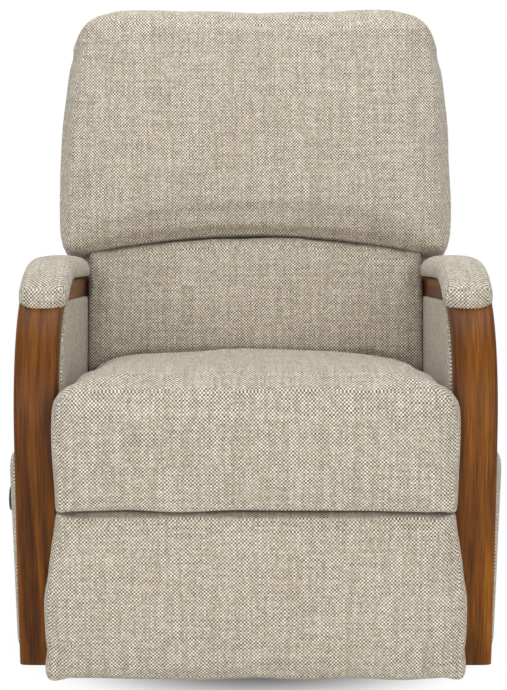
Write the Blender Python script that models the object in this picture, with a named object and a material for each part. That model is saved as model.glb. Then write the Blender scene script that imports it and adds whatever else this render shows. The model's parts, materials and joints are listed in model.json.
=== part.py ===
"""Swivel gliding recliner with a bentwood arm on each side, in metres, +Z up, facing -Y.

The floor ring stands on z = 0. Above it a swivel bearing carries two glide stands, four swing links
hang the chassis from them, and the chassis carries the seat, the back, the lever and the footrest.
"""

import math

import bmesh
import bpy
from mathutils import Vector
from mathutils.geometry import tessellate_polygon

# Clearances
FIT = 0.0003
PIN_PLAY = 0.0006
SOFT_GAP = 0.004
REST_GAP = 0.0005

# Widths from the middle outwards, all carried by the half width of the seat
SEAT_HALF = 0.284
SEAT_SIDE_GAP = 0.0053
PANEL_INNER = SEAT_HALF + SEAT_SIDE_GAP
PANEL_THICK = 0.0557
PANEL_OUTER = PANEL_INNER + PANEL_THICK
COVER_THICK = 0.0295
COVER_OUTER = PANEL_OUTER + COVER_THICK
ARM_SET_OUT = 0.0037
ARM_WIDE = 0.065
ARM_INNER = PANEL_INNER + ARM_SET_OUT
ARM_OUTER = ARM_INNER + ARM_WIDE
SHEET = 0.004
BAR_THICK = 0.005
BAR_GAP = 0.002
PLATE = (PANEL_INNER - FIT - SHEET, PANEL_INNER - FIT)
LAYER_A = (PLATE[0] - 2 * BAR_GAP - BAR_THICK, PLATE[0] - 2 * BAR_GAP)
LAYER_B = (LAYER_A[0] - BAR_GAP - BAR_THICK, LAYER_A[0] - BAR_GAP)
LINK_THICK = 0.006
STAND_THICK = 0.007
GLIDE_LINK = (PLATE[0] - BAR_GAP - LINK_THICK, PLATE[0] - BAR_GAP)
GLIDE_STAND = (GLIDE_LINK[0] - BAR_GAP - STAND_THICK, GLIDE_LINK[0] - BAR_GAP)
RAIL_SIDE_GAP = 0.007
SEAT_RAIL_WIDTH = 0.026
SEAT_RAIL_OUT = LAYER_B[0] - RAIL_SIDE_GAP
SEAT_RAIL_IN = SEAT_RAIL_OUT - SEAT_RAIL_WIDTH
BACK_POST_WIDE = 0.040
BACK_POST_OUT = SEAT_RAIL_IN - RAIL_SIDE_GAP
BACK_POST_IN = BACK_POST_OUT - BACK_POST_WIDE
LUMBAR_SPREAD = 0.0035
LUMBAR_HALF = SEAT_HALF + LUMBAR_SPREAD
SHELL_HALF_LOW = SEAT_HALF
EAR_WIDE = 0.017
SEAT_EAR_HALF = SEAT_HALF + EAR_WIDE
WING_WIDE = 0.056
PILLOW_TAPER = 0.018
PILLOW_HALF_LOW = SEAT_HALF + WING_WIDE
PILLOW_HALF_TOP = PILLOW_HALF_LOW - PILLOW_TAPER
SHELL_INSET = 0.009
SHELL_HALF_TOP = PILLOW_HALF_LOW - SHELL_INSET
FOOT_FLARE = 0.031
FOOT_TAPER = 0.019
FOOT_HALF_LOW = SEAT_HALF + FOOT_FLARE
FOOT_HALF_TOP = FOOT_HALF_LOW - FOOT_TAPER
BOARD_INSET = 0.022
BOARD_HALF = SEAT_HALF - BOARD_INSET
TAB_LENGTH = 0.041
TAB_REACH = LAYER_A[0] - TAB_LENGTH

# Arms: one strip of bent wood each side
ARM_THICK = 0.036
POST_FOOT = (-0.357, 0.067)
POST_BOW = (-0.380, 0.430)
RAIL_START = (-0.190, 0.614)
RAIL_END_Y = 0.215
RAIL_SLOPE = 0.112
BEND_RISE = 0.115
BEND_RUN = 0.110
PAD_THICK = 0.031
PAD_OVERHANG = 0.0022
PAD_START_Z = 0.587
PAD_END_Y = 0.130
PAD_LIP = 0.028
PAD_TAIL = 0.024

# Side panels
PANEL_FOOT = 0.075
PANEL_REAR = 0.262
COVER_FOOT = 0.060
COVER_TOP = 0.387
COVER_FRONT = -0.334
COVER_REAR = 0.250
COVER_TUCK = 0.009
COVER_CORNER = 0.034

# Seat
SEAT_FRONT = -0.450
SEAT_REAR = 0.070
SEAT_LIP = 0.317
SEAT_CROWN = 0.520
SEAT_BACK_TOP = 0.487
SEAT_LIFT_FRONT = 0.005
SEAT_LIFT_REAR = 0.026
SEAT_ROUND = 0.040
SEAT_SHOULDER = 0.026
SEAT_EAR_REAR = -0.402
SEAT_STEP = -0.364
RAIL_Z0 = 0.312
RAIL_Z1 = 0.352
SEAT_RAIL_FRONT = -0.362
SEAT_RAIL_REAR = 0.138
SEAT_RAIL_TAIL = 0.187
STUD_YS = (-0.262, 0.085)
STUD_Z = 0.322
STUD_R = 0.005
SEAT_TRAVEL = 0.030
SPRING_XS = (-0.13, 0.0, 0.13)
SPRING_SWING = 0.024
SPRING_WIRE_R = 0.0021
SEAT_CLIMB = math.radians(8.0)

# Back, drawn upright about its hinge and then leaned by BACK_RAKE
HINGE_Y = 0.165
HINGE_Z = 0.332
HINGE_PIN_R = 0.006
BACK_RAKE = math.radians(14.0)
BACK_FRAME_DEEP = 0.045
PILLOW_TOP = 0.722
PILLOW_CAP = 0.038
BACK_FRAME_TOP = PILLOW_TOP - PILLOW_CAP
PILLOW_LOW = 0.322
PILLOW_ARCH = 0.044
PILLOW_FRONT = -0.136
PILLOW_ROUND = 0.040
CORNER_RUN = 0.084
CORNER_DROP = 0.050
LUMBAR_LOW = 0.072
LUMBAR_FRONT = -0.112
LUMBAR_ROUND = 0.014
SHELL_ROUND = 0.036
SHELL_REAR = 0.128
SHELL_LOW = -0.050
SHELL_STEP = 0.262

# Footrest panel, shut
FOOT_FRONT = -0.450
FOOT_REAR = -0.4015
FOOT_LOW = 0.057
FOOT_TOP = 0.310
FOOT_ROUND = 0.018
BOARD_THICK = 0.017
BOARD_LOW = 0.082
BOARD_TOP = 0.290

# Footrest tongs: A bars lean forwards going down, B bars lean forwards going up
TONG_H = 0.095
TONG_A = math.radians(12.0)
TONG_B = math.radians(28.0)
TONG_A_TURN = math.radians(76.0)
TONG_B_TURN = math.radians(46.0)
TONG_HEAD = (-0.358, 0.258)
BAR_R = 0.010
BAR_PIN_R = 0.0045
BRACKET_R = 0.016
TAB_Z = (0.188, 0.212)
TAB_THICK = 0.004
SHAFT_R = 0.009
PLATE_FRONT = -0.314
PLATE_REAR = 0.190
PLATE_LOW = 0.086
PLATE_TOP = 0.338

# Lever
LEVER_HUB = (-0.100, 0.282)
LEVER_TIP = (-0.230, 0.290)
LEVER_THICK = 0.0080
LEVER_HUB_R = 0.016
LEVER_TIP_R = 0.020
LEVER_GAP = 0.0030
CRANK = 0.030

# Glide base and swivel
SWIVEL_Y = 0.030
GLIDE_YS = (-0.070, 0.150)
GLIDE_TOP = 0.205
GLIDE_LOW = 0.105
GLIDE_LINK_R = 0.013
GLIDE_PIN_R = 0.006
CROSS_Z0 = 0.0523
CROSS_Z1 = 0.0743
CROSS_WIDTH = 0.040
RING_R = 0.272
RING_WIDE = 0.032
RING_HIGH = 0.020
SPIDER_HIGH = 0.012
SPIDER_ARM = 0.050
RACE_R = 0.112
RACE_WIDE = 0.062
RACE_BORE = RACE_R - RACE_WIDE
CAGE_INSET = 0.020
RACE_THICK = 0.0074
CAGE_THICK = 0.0037
FRONT_RAIL_Y = (-0.180, -0.150)
REAR_RAIL_Y = (0.230, 0.256)
CROSS_RAIL_Z = (0.086, 0.120)
REAR_RAIL_TOP = 0.222


def wipe():
    """Empty the scene."""
    for obj in list(bpy.data.objects):
        bpy.data.objects.remove(obj, do_unlink=True)


def finish(name, colour, metallic, roughness):
    """A Principled material."""
    made = bpy.data.materials.new(name)
    made.use_nodes = True
    shader = made.node_tree.nodes["Principled BSDF"]
    shader.inputs["Base Color"].default_value = (*colour, 1.0)
    shader.inputs["Metallic"].default_value = metallic
    shader.inputs["Roughness"].default_value = roughness
    made.diffuse_color = (*colour, 1.0)
    return made


class Body:
    """An empty on a joint's axis; pieces are drawn in the chair's frame and stored about it."""

    def __init__(self, name, origin, parent=None, lean=0.0):
        self.origin = Vector(origin)
        self.leaning = lean != 0.0
        self.empty = bpy.data.objects.new(name, None)
        self.empty.empty_display_size = 0.03
        bpy.context.scene.collection.objects.link(self.empty)
        self.empty.location = self.origin
        self.empty.rotation_euler = (-lean, 0.0, 0.0)
        if parent is not None:
            self.empty.parent = parent.empty
            self.empty.location = self.origin - parent.origin


def add(name, verts, faces, skin, body):
    """One closed mesh object; a leaning body takes its pieces in its own upright frame."""
    shift = Vector((0.0, 0.0, 0.0)) if body.leaning else body.origin
    mesh = bpy.data.meshes.new(name)
    mesh.from_pydata([Vector(v) - shift for v in verts], [], faces)
    work = bmesh.new()
    work.from_mesh(mesh)
    bmesh.ops.recalc_face_normals(work, faces=work.faces)
    work.to_mesh(mesh)
    work.free()
    mesh.materials.append(skin)
    obj = bpy.data.objects.new(name, mesh)
    bpy.context.scene.collection.objects.link(obj)
    obj.parent = body.empty
    return obj


def turned(axis, a, b, along):
    """A point of a flat outline (a, b) set at a distance along the axis that it is drawn out on."""
    if axis == "x":
        return (along, a, b)
    if axis == "y":
        return (a, along, b)
    return (a, b, along)


def circle(centre, radius, count=10):
    """A round outline."""
    turns = [2.0 * math.pi * (k + 0.5) / count for k in range(count)]
    return [(centre[0] + radius * math.cos(t), centre[1] + radius * math.sin(t)) for t in turns]


def bar(start, end, radius, end_radius=None, count=5):
    """The outline of a bar with round ends, tapered where the two radii differ."""
    end_radius = radius if end_radius is None else end_radius
    dy = end[0] - start[0]
    dz = end[1] - start[1]
    run = math.hypot(dy, dz)
    face = math.atan2(dz, dy)
    lean = math.acos((radius - end_radius) / run)
    outline = []
    for k in range(count + 1):
        turn = face + lean + (2.0 * math.pi - 2.0 * lean) * k / count
        outline.append((start[0] + radius * math.cos(turn), start[1] + radius * math.sin(turn)))
    for k in range(count + 1):
        turn = face - lean + 2.0 * lean * k / count
        outline.append((end[0] + end_radius * math.cos(turn), end[1] + end_radius * math.sin(turn)))
    return outline


def groove(path, radius, count=4):
    """The outline of a slot of even width along a path, with round ends."""
    left = []
    right = []
    last = len(path) - 1
    for k, point in enumerate(path):
        ahead = path[min(k + 1, last)]
        behind = path[max(k - 1, 0)]
        turn = math.atan2(ahead[1] - behind[1], ahead[0] - behind[0])
        step = (-radius * math.sin(turn), radius * math.cos(turn))
        left.append((point[0] + step[0], point[1] + step[1]))
        right.append((point[0] - step[0], point[1] - step[1]))
    first = math.atan2(path[1][1] - path[0][1], path[1][0] - path[0][0])
    final = math.atan2(path[-1][1] - path[-2][1], path[-1][0] - path[-2][0])
    nose = []
    tail = []
    for k in range(1, count):
        swing = math.pi * k / count - math.pi / 2
        nose.append((path[-1][0] + radius * math.cos(final + swing),
                     path[-1][1] + radius * math.sin(final + swing)))
        tail.append((path[0][0] - radius * math.cos(first + swing),
                     path[0][1] - radius * math.sin(first + swing)))
    return right + nose + left[::-1] + tail


def plate(name, outline, span, skin, body, holes=(), pins=(), axis="x"):
    """A flat piece with holes right through it and round pins standing on either face.

    Each pin is (outline, end): the outline stands on the face that the end lies beyond.
    """
    low, high = sorted(span)
    loops = [list(outline)] + [list(h) for h in holes] + [list(p[0]) for p in pins]
    flat = [[Vector((a, b, 0.0)) for a, b in loop] for loop in loops]
    cells = tessellate_polygon(flat)
    points = [p for loop in loops for p in loop]
    count = len(points)
    verts = [turned(axis, a, b, low) for a, b in points]
    verts += [turned(axis, a, b, high) for a, b in points]
    faces = [tuple(c) for c in cells]
    faces += [tuple(i + count for i in c) for c in cells]
    start = 0
    for index, loop in enumerate(loops):
        size = len(loop)
        ids = [start + k for k in range(size)]
        start += size
        pin = index - 1 - len(holes)
        if pin < 0:
            faces += [(ids[k], ids[k - 1], ids[k - 1] + count, ids[k] + count) for k in range(size)]
            continue
        end = pins[pin][1]
        foot = [i + count for i in ids] if end > high else ids
        faces.append(tuple(ids if end > high else [i + count for i in ids]))
        tip = [len(verts) + k for k in range(size)]
        verts += [turned(axis, a, b, end) for a, b in loop]
        faces += [(foot[k], foot[k - 1], tip[k - 1], tip[k]) for k in range(size)]
        faces.append(tuple(tip))
    return add(name, verts, faces, skin, body)


def box(name, low, high, skin, body, edge=0.0):
    """A square-cut piece, with its edges eased where edge is given."""
    outline = [(low[0], low[1]), (high[0], low[1]), (high[0], high[1]), (low[0], high[1])]
    obj = plate(name, outline, (low[2], high[2]), skin, body, axis="z")
    if edge > 0.0:
        ease = obj.modifiers.new("eased_edges", "BEVEL")
        ease.width = edge
        ease.segments = 2
    return obj


def sweep(name, path, up, profile, skin, body, closed=False):
    """A profile carried along a flat path; up is the direction square to the path's plane."""
    up = Vector(up)
    last = len(path) - 1
    size = len(profile)
    verts = []
    for k, point in enumerate(path):
        ahead = path[(k + 1) % len(path)] if closed else path[min(k + 1, last)]
        behind = path[k - 1] if closed else path[max(k - 1, 0)]
        along = (Vector(ahead) - Vector(behind)).normalized()
        across = up.cross(along)
        verts += [Vector(point) + up * a + across * b for a, b in profile]
    faces = []
    for k in range(len(path) if closed else last):
        here = k * size
        there = ((k + 1) % len(path)) * size
        for j in range(size):
            faces.append((here + j, here + j - 1 if j else here + size - 1,
                          there + j - 1 if j else there + size - 1, there + j))
    if not closed:
        faces.append(tuple(range(size)))
        faces.append(tuple(range(last * size, last * size + size)))
    return add(name, verts, faces, skin, body)


def revolve(name, profile, centre, skin, body, count=40):
    """A closed profile of (radius, height) turned about a vertical axis."""
    size = len(profile)
    verts = []
    for k in range(count):
        turn = 2.0 * math.pi * k / count
        verts += [(centre[0] + r * math.cos(turn), centre[1] + r * math.sin(turn), z)
                  for r, z in profile]
    faces = []
    for k in range(count):
        here = k * size
        there = ((k + 1) % count) * size
        for j in range(size):
            before = (j - 1) % size
            faces.append((here + j, here + before, there + before, there + j))
    return add(name, verts, faces, skin, body)


def rounded_box_outline(a0, a1, b0, b1, radius, count=3):
    """A rectangle with round corners."""
    corners = ((a1 - radius, b1 - radius), (a0 + radius, b1 - radius),
               (a0 + radius, b0 + radius), (a1 - radius, b0 + radius))
    outline = []
    for index, (ca, cb) in enumerate(corners):
        for k in range(count + 1):
            turn = math.pi / 2 * (index + k / count)
            outline.append((ca + radius * math.cos(turn), cb + radius * math.sin(turn)))
    return outline


def blend(value, start, end):
    """0 before start, 1 after end, smooth in between."""
    t = min(1.0, max(0.0, (value - start) / (end - start)))
    return t * t * (3.0 - 2.0 * t)


def soft_ring(a0, a1, b0, b1, radii, arc=4, across=7):
    """A rectangle with round corners, low and high; its two long sides carry points of their own."""
    halves = []
    for b, radius, up in ((b1, radii[1], 1.0), (b0, radii[0], -1.0)):
        turns = [math.pi / 2 * k / (arc - 1) for k in range(arc)]
        right = [(a1 - radius + radius * math.cos(t), b - up * radius * (1.0 - math.sin(t))) for t in turns]
        left = [(a0 + a1 - a, height) for a, height in reversed(right)]
        start = right[-1][0]
        step = (left[0][0] - start) / (across + 1)
        middle = [(start + step * k, b) for k in range(1, across + 1)]
        halves.append(right + middle + left)
    return halves[0] + halves[1][::-1]


def cushion(name, span, rounds, section, skin, body, axis="z", shape=None, corners=(0.02, 0.02), steps=7,
            marks=(), soft=(1.0, 1.0)):
    """A padded form: round-cornered rings along an axis, drawn in at both ends.

    section(position) gives the ring's two low and high limits; rounds are the end radii; corners are
    the ring's radii at its second low and high limit; shape, where given, moves each finished point;
    marks are places that need a ring of their own; soft says how far the ends are drawn in towards
    the second low and high limit, 1 fully and 0 not at all.
    """
    low, high = span
    turns = [0.0, 0.45, 0.95, math.pi / 2]
    near = [low + rounds[0] * (1.0 - math.cos(t)) for t in turns]
    far = [high - rounds[1] * (1.0 - math.cos(t)) for t in reversed(turns)]
    middle = [near[-1] + (far[0] - near[-1]) * k / steps for k in range(1, steps)]
    verts = []
    places = sorted(near + middle + far + list(marks))
    for at in places:
        inset = 0.0
        for depth, radius in ((at - low, rounds[0]), (high - at, rounds[1])):
            if depth < radius:
                inset = max(inset, radius - math.sqrt(radius**2 - (radius - depth)**2))
        a0, a1, b0, b1 = section(at)
        b0 += inset * soft[0]
        b1 -= inset * soft[1]
        radii = [min(max(radius - inset, 0.002), 0.45 * (b1 - b0)) for radius in corners]
        for a, b in soft_ring(a0 + inset, a1 - inset, b0, b1, radii):
            point = turned(axis, a, b, at)
            verts.append(shape(*point) if shape else point)
    ring = len(verts) // len(places)
    faces = []
    for row in range(len(places) - 1):
        for k in range(ring):
            here = row * ring + k
            back = row * ring + (k - 1) % ring
            faces.append((here, back, back + ring, here + ring))
    for end in (0, len(verts) - ring):
        for k in range(ring // 2 - 1):
            faces.append((end + k, end + k + 1, end + ring - 2 - k, end + ring - 1 - k))
    return add(name, verts, faces, skin, body)


def hollow(obj, name, low, high, body):
    """Cut a square recess out of a piece with a hidden block."""
    block = box(name, low, high, obj.data.materials[0], body)
    block.hide_render = True
    block.display_type = "WIRE"
    cut = obj.modifiers.new(name, "BOOLEAN")
    cut.operation = "DIFFERENCE"
    cut.solver = "EXACT"
    cut.object = block


def tong_a(turn):
    """Unit direction of an A bar, from its upper end down and forwards."""
    return Vector((-math.sin(turn), -math.cos(turn)))


def tong_b(turn):
    """Unit direction of a B bar, from its lower end up and forwards."""
    return Vector((-math.sin(turn), math.cos(turn)))


def tong_points(part):
    """The tongs' pivots when they are opened by this part of their travel, 0 shut and 1 open."""
    a = tong_a(TONG_A + TONG_A_TURN * part) * TONG_H
    b = tong_b(TONG_B + TONG_B_TURN * part) * TONG_H
    shaft = Vector(TONG_HEAD) - 2.0 * (tong_a(TONG_A) + tong_b(TONG_B)) * TONG_H
    return {
        "shaft": shaft,
        "cross_1": shaft + a,
        "foot": shaft + a - b,
        "knee_a": shaft + 2.0 * a,
        "knee_b": shaft + a + b,
        "cross_2": shaft + 2.0 * a + b,
        "end_a": shaft + 3.0 * a + b,
        "head": shaft + 2.0 * a + 2.0 * b,
        "stay": shaft + 3.0 * a + 2.0 * b,
    }


def arm_path():
    """The centre line of the bent arm in the (y, z) plane, from the foot to the rear end."""
    path = []
    for k in range(7):
        z = POST_FOOT[1] + (POST_BOW[1] - POST_FOOT[1]) * k / 7
        part = (POST_BOW[1] - z) / (POST_BOW[1] - POST_FOOT[1])
        path.append((POST_BOW[0] + (POST_FOOT[0] - POST_BOW[0]) * part**2, z))
    run = math.hypot(1.0, RAIL_SLOPE)
    knots = [
        Vector(POST_BOW),
        Vector((POST_BOW[0], POST_BOW[1] + BEND_RISE)),
        Vector((RAIL_START[0] - BEND_RUN / run, RAIL_START[1] + BEND_RUN * RAIL_SLOPE / run)),
        Vector(RAIL_START),
    ]
    for k in range(15):
        t = k / 14
        s = 1.0 - t
        path.append(tuple(knots[0] * s**3 + knots[1] * 3 * s * s * t + knots[2] * 3 * s * t * t
                          + knots[3] * t**3))
    for k in range(1, 5):
        y = RAIL_START[0] + (RAIL_END_Y - RAIL_START[0]) * k / 4
        path.append((y, RAIL_START[1] - (y - RAIL_START[0]) * RAIL_SLOPE))
    return path


def offset_path(path, distance):
    """The path moved sideways, to its right going along it; here that is the inside of the bend."""
    moved = []
    last = len(path) - 1
    for k, point in enumerate(path):
        ahead = path[min(k + 1, last)]
        behind = path[max(k - 1, 0)]
        turn = math.atan2(ahead[1] - behind[1], ahead[0] - behind[0])
        moved.append((point[0] + distance * math.sin(turn), point[1] - distance * math.cos(turn)))
    return moved


wipe()
FABRIC = finish("upholstery", (0.42, 0.35, 0.27), 0.0, 0.9)
WOOD = finish("bent_wood", (0.09, 0.035, 0.015), 0.0, 0.35)
FRAME_WOOD = finish("frame_wood", (0.45, 0.32, 0.18), 0.0, 0.7)
STEEL = finish("mechanism_steel", (0.30, 0.30, 0.31), 1.0, 0.4)
BLACK = finish("black_steel", (0.015, 0.015, 0.016), 0.6, 0.45)
PLASTIC = finish("dark_plastic", (0.02, 0.02, 0.022), 0.0, 0.45)
NYLON = finish("bearing_nylon", (0.6, 0.58, 0.52), 0.0, 0.6)

PIVOT = tong_points(0.0)
SIDES = (("left", -1), ("right", 1))
FLOOR = Body("floor_base", (0.0, SWIVEL_Y, 0.0))
TURN = Body("turntable", (0.0, SWIVEL_Y, CROSS_Z0), FLOOR)
FRONT_LINKS = Body("glide_front", (0.0, GLIDE_YS[0], GLIDE_TOP), TURN)
REAR_LINKS = Body("glide_rear", (0.0, GLIDE_YS[1], GLIDE_TOP), TURN)
CHASSIS = Body("chassis", (0.0, GLIDE_YS[0], GLIDE_LOW), FRONT_LINKS)
SEAT = Body("seat", (0.0, STUD_YS[0], STUD_Z), CHASSIS)
BACK = Body("back", (0.0, HINGE_Y, HINGE_Z), SEAT, BACK_RAKE)
LEVER = Body("lever", (0.0, *LEVER_HUB), CHASSIS)
ROD = Body("rod", (0.0, *(Vector(LEVER_HUB) - tong_a(TONG_A) * CRANK)), LEVER)
DRIVE = Body("drive", (0.0, *PIVOT["shaft"]), CHASSIS)
TONG_B1 = Body("tong_b1", (0.0, *PIVOT["cross_1"]), DRIVE)
TONG_A2 = Body("tong_a2", (0.0, *PIVOT["knee_b"]), TONG_B1)
TONG_B2 = Body("tong_b2", (0.0, *PIVOT["knee_a"]), DRIVE)
TONG_B3 = Body("tong_b3", (0.0, *PIVOT["end_a"]), TONG_A2)
FOOTREST = Body("footrest", (0.0, *PIVOT["head"]), TONG_B2)

# Floor base
ring_in = RING_R - RING_WIDE
revolve("floor_ring", [(ring_in, 0.0), (RING_R, 0.0), (RING_R, RING_HIGH * 0.6), (RING_R - 0.006, RING_HIGH),
                       (ring_in + 0.006, RING_HIGH), (ring_in, RING_HIGH * 0.6)],
        (0.0, SWIVEL_Y), BLACK, FLOOR)
spider_z = RING_HIGH + FIT
tip = RING_R - RING_WIDE / 2
half = SPIDER_ARM / 2
fillet = half + 0.05
cross = []
for quarter in range(4):
    turn = math.pi / 2 * quarter
    for along, side in ((fillet, -half), (tip, -half), (tip, half), (fillet, half)):
        cross.append((along * math.cos(turn) - side * math.sin(turn),
                      SWIVEL_Y + along * math.sin(turn) + side * math.cos(turn)))
plate("base_spider", cross, (spider_z, spider_z + SPIDER_HIGH), BLACK, FLOOR, axis="z")


def race(name, inner, outer, z0, thick, skin, body):
    """One flat ring of the swivel bearing."""
    revolve(name, [(inner, z0), (outer, z0), (outer, z0 + thick), (inner, z0 + thick)],
            (0.0, SWIVEL_Y), skin, body, 24)


lower_z = spider_z + SPIDER_HIGH + FIT
cage_z = lower_z + RACE_THICK + FIT
upper_z = cage_z + CAGE_THICK + FIT
race("bearing_lower_race", RACE_BORE, RACE_R, lower_z, RACE_THICK, STEEL, FLOOR)
race("bearing_cage", RACE_BORE + CAGE_INSET, RACE_R - CAGE_INSET, cage_z, CAGE_THICK, NYLON, FLOOR)
race("bearing_upper_race", RACE_BORE, RACE_R, upper_z, CROSS_Z0 - FIT - upper_z, STEEL, TURN)

# Glide base
cross_half = GLIDE_STAND[0] - FIT
for where, y in zip(("front", "rear"), GLIDE_YS):
    box(f"glide_cross_{where}", (-cross_half, y - CROSS_WIDTH / 2, CROSS_Z0),
        (cross_half, y + CROSS_WIDTH / 2, CROSS_Z1), BLACK, TURN, 0.003)
stand_low = CROSS_Z0 + 0.001
stand_outline = [
    (GLIDE_YS[0] - 0.024, stand_low), (GLIDE_YS[1] + 0.015, stand_low),
    (GLIDE_YS[1] + 0.015, GLIDE_TOP + 0.008), (GLIDE_YS[1] + 0.006, GLIDE_TOP + 0.017),
    (GLIDE_YS[0] - 0.014, GLIDE_TOP + 0.017), (GLIDE_YS[0] - 0.024, GLIDE_TOP + 0.007),
]
glide_mid = (GLIDE_YS[0] + GLIDE_YS[1]) / 2
stand_window = rounded_box_outline(glide_mid - 0.046, glide_mid + 0.046, 0.092, 0.150, 0.020)
for side, s in SIDES:
    tips = [(circle((y, GLIDE_TOP), GLIDE_PIN_R), s * (GLIDE_LINK[1] + 0.001)) for y in GLIDE_YS]
    plate(f"glide_stand_{side}", stand_outline, (s * GLIDE_STAND[0], s * GLIDE_STAND[1]), BLACK, TURN,
          holes=[stand_window], pins=tips)
    for where, y, swing in zip(("front", "rear"), GLIDE_YS, (FRONT_LINKS, REAR_LINKS)):
        plate(f"glide_link_{where}_{side}", bar((y, GLIDE_TOP), (y, GLIDE_LOW), GLIDE_LINK_R),
              (s * GLIDE_LINK[0], s * GLIDE_LINK[1]), STEEL, swing,
              holes=[circle((y, GLIDE_TOP), GLIDE_PIN_R + PIN_PLAY)],
              pins=[(circle((y, GLIDE_LOW), GLIDE_PIN_R), s * (PLATE[1] - FIT))])

# Arms, pads and side panels
CENTRE = arm_path()
arm_mid = (ARM_INNER + ARM_OUTER) / 2
arm_half = (ARM_OUTER - ARM_INNER) / 2
wood_section = rounded_box_outline(-arm_half, arm_half, -ARM_THICK / 2, ARM_THICK / 2, 0.007, 2)
under = offset_path(CENTRE, ARM_THICK / 2 + FIT)
panel_outline = [p for p in under if p[1] > PANEL_FOOT]
panel_outline += [(PANEL_REAR, panel_outline[-1][1] - (PANEL_REAR - panel_outline[-1][0])),
                  (PANEL_REAR, PANEL_FOOT), (under[0][0], PANEL_FOOT)]


def arm_pad(name, s, body):
    """The pad along the top of one arm: a low dome, narrowed to a round lip at both ends."""
    start = next(k for k, p in enumerate(CENTRE) if p[1] > PAD_START_Z)
    low, high = CENTRE[start - 1], CENTRE[start]
    part = (PAD_START_Z - low[1]) / (high[1] - low[1])
    begin = (low[0] + (high[0] - low[0]) * part, PAD_START_Z)
    stretch = [begin] + CENTRE[start:]
    fine = []
    for a, b in zip(stretch[:-1], stretch[1:]):
        parts = 2 if b[0] > RAIL_START[0] + 0.001 else 1
        fine += [(a[0] + (b[0] - a[0]) * k / parts, a[1] + (b[1] - a[1]) * k / parts)
                 for k in range(parts)]
    fine = [p for p in fine if p[0] < PAD_END_Y - 0.02] + [
        (y, RAIL_START[1] - (y - RAIL_START[0]) * RAIL_SLOPE)
        for y in (PAD_END_Y - 0.010, PAD_END_Y - 0.003, PAD_END_Y)]
    lengths = [0.0]
    for a, b in zip(fine, fine[1:]):
        lengths.append(lengths[-1] + math.hypot(b[0] - a[0], b[1] - a[1]))
    lifted = [offset_path(fine, -ARM_THICK / 2 - FIT), offset_path(fine, -ARM_THICK / 2 - PAD_THICK)]
    ring = 14
    verts = []
    for k, length in enumerate(lengths):
        left = min(length / PAD_LIP, (lengths[-1] - length) / PAD_TAIL, 1.0)
        swell = 0.30 + 0.70 * math.sqrt(1.0 - (1.0 - left) ** 2)
        wide = (arm_half + PAD_OVERHANG) * (0.86 + 0.14 * math.sqrt(1.0 - (1.0 - left) ** 2))
        foot = Vector(lifted[0][k])
        rise = (Vector(lifted[1][k]) - foot) * swell
        for j in range(ring):
            turn = math.pi * j / (ring - 1)
            out = math.copysign(abs(math.cos(turn)) ** 0.5, math.cos(turn))
            up = abs(math.sin(turn)) ** 0.55
            spot = foot + rise * up
            verts.append((s * arm_mid + wide * out, spot[0], spot[1]))
    rows = len(lengths)
    faces = []
    for row in range(rows - 1):
        for j in range(ring):
            here = row * ring + j
            back = row * ring + (j - 1) % ring
            faces.append((here, back, back + ring, here + ring))
    faces.append(tuple(range(ring)))
    faces.append(tuple(range((rows - 1) * ring, rows * ring)))
    return add(name, verts, faces, FABRIC, body)


def cover_shape(x, y, z):
    """Draw the lower side cover in towards its foot and ease its top."""
    out = abs(x) - PANEL_OUTER - FIT
    low = max(0.0, (0.30 - z) / (0.30 - COVER_FOOT))
    keep = 1.0 - COVER_TUCK / (COVER_OUTER - PANEL_OUTER) * low**2
    return (math.copysign(PANEL_OUTER + FIT + out * keep, x), y, z)


shaft_hole = circle(LEVER_HUB, SHAFT_R + 0.003, 14)
for side, s in SIDES:
    line = [(s * arm_mid, y, z) for y, z in CENTRE]
    sweep(f"arm_{side}", line, (1.0, 0.0, 0.0), wood_section, WOOD, CHASSIS)
    arm_pad(f"arm_pad_{side}", s, CHASSIS)
    through = [shaft_hole] if side == "left" else []
    plate(f"side_panel_{side}", panel_outline, (s * PANEL_INNER, s * PANEL_OUTER), FABRIC, CHASSIS, through)
    edges = (PANEL_OUTER + FIT, COVER_OUTER)
    span = edges if s > 0 else (-edges[1], -edges[0])
    rounds = (0.0005, COVER_THICK * 0.75) if s > 0 else (COVER_THICK * 0.75, 0.0005)
    cover = cushion(f"outer_panel_{side}", span, rounds,
                    lambda at: (COVER_FRONT, COVER_REAR, COVER_FOOT, COVER_TOP), FABRIC, CHASSIS,
                    "x", cover_shape, (COVER_CORNER, COVER_CORNER), 2)
    if side == "left":
        clear = SHAFT_R + 0.003
        hollow(cover, "shaft_opening", (-COVER_OUTER - 0.02, LEVER_HUB[0] - clear, LEVER_HUB[1] - clear),
               (-PANEL_OUTER + 0.02, LEVER_HUB[0] + clear, LEVER_HUB[1] + clear), CHASSIS)

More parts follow.
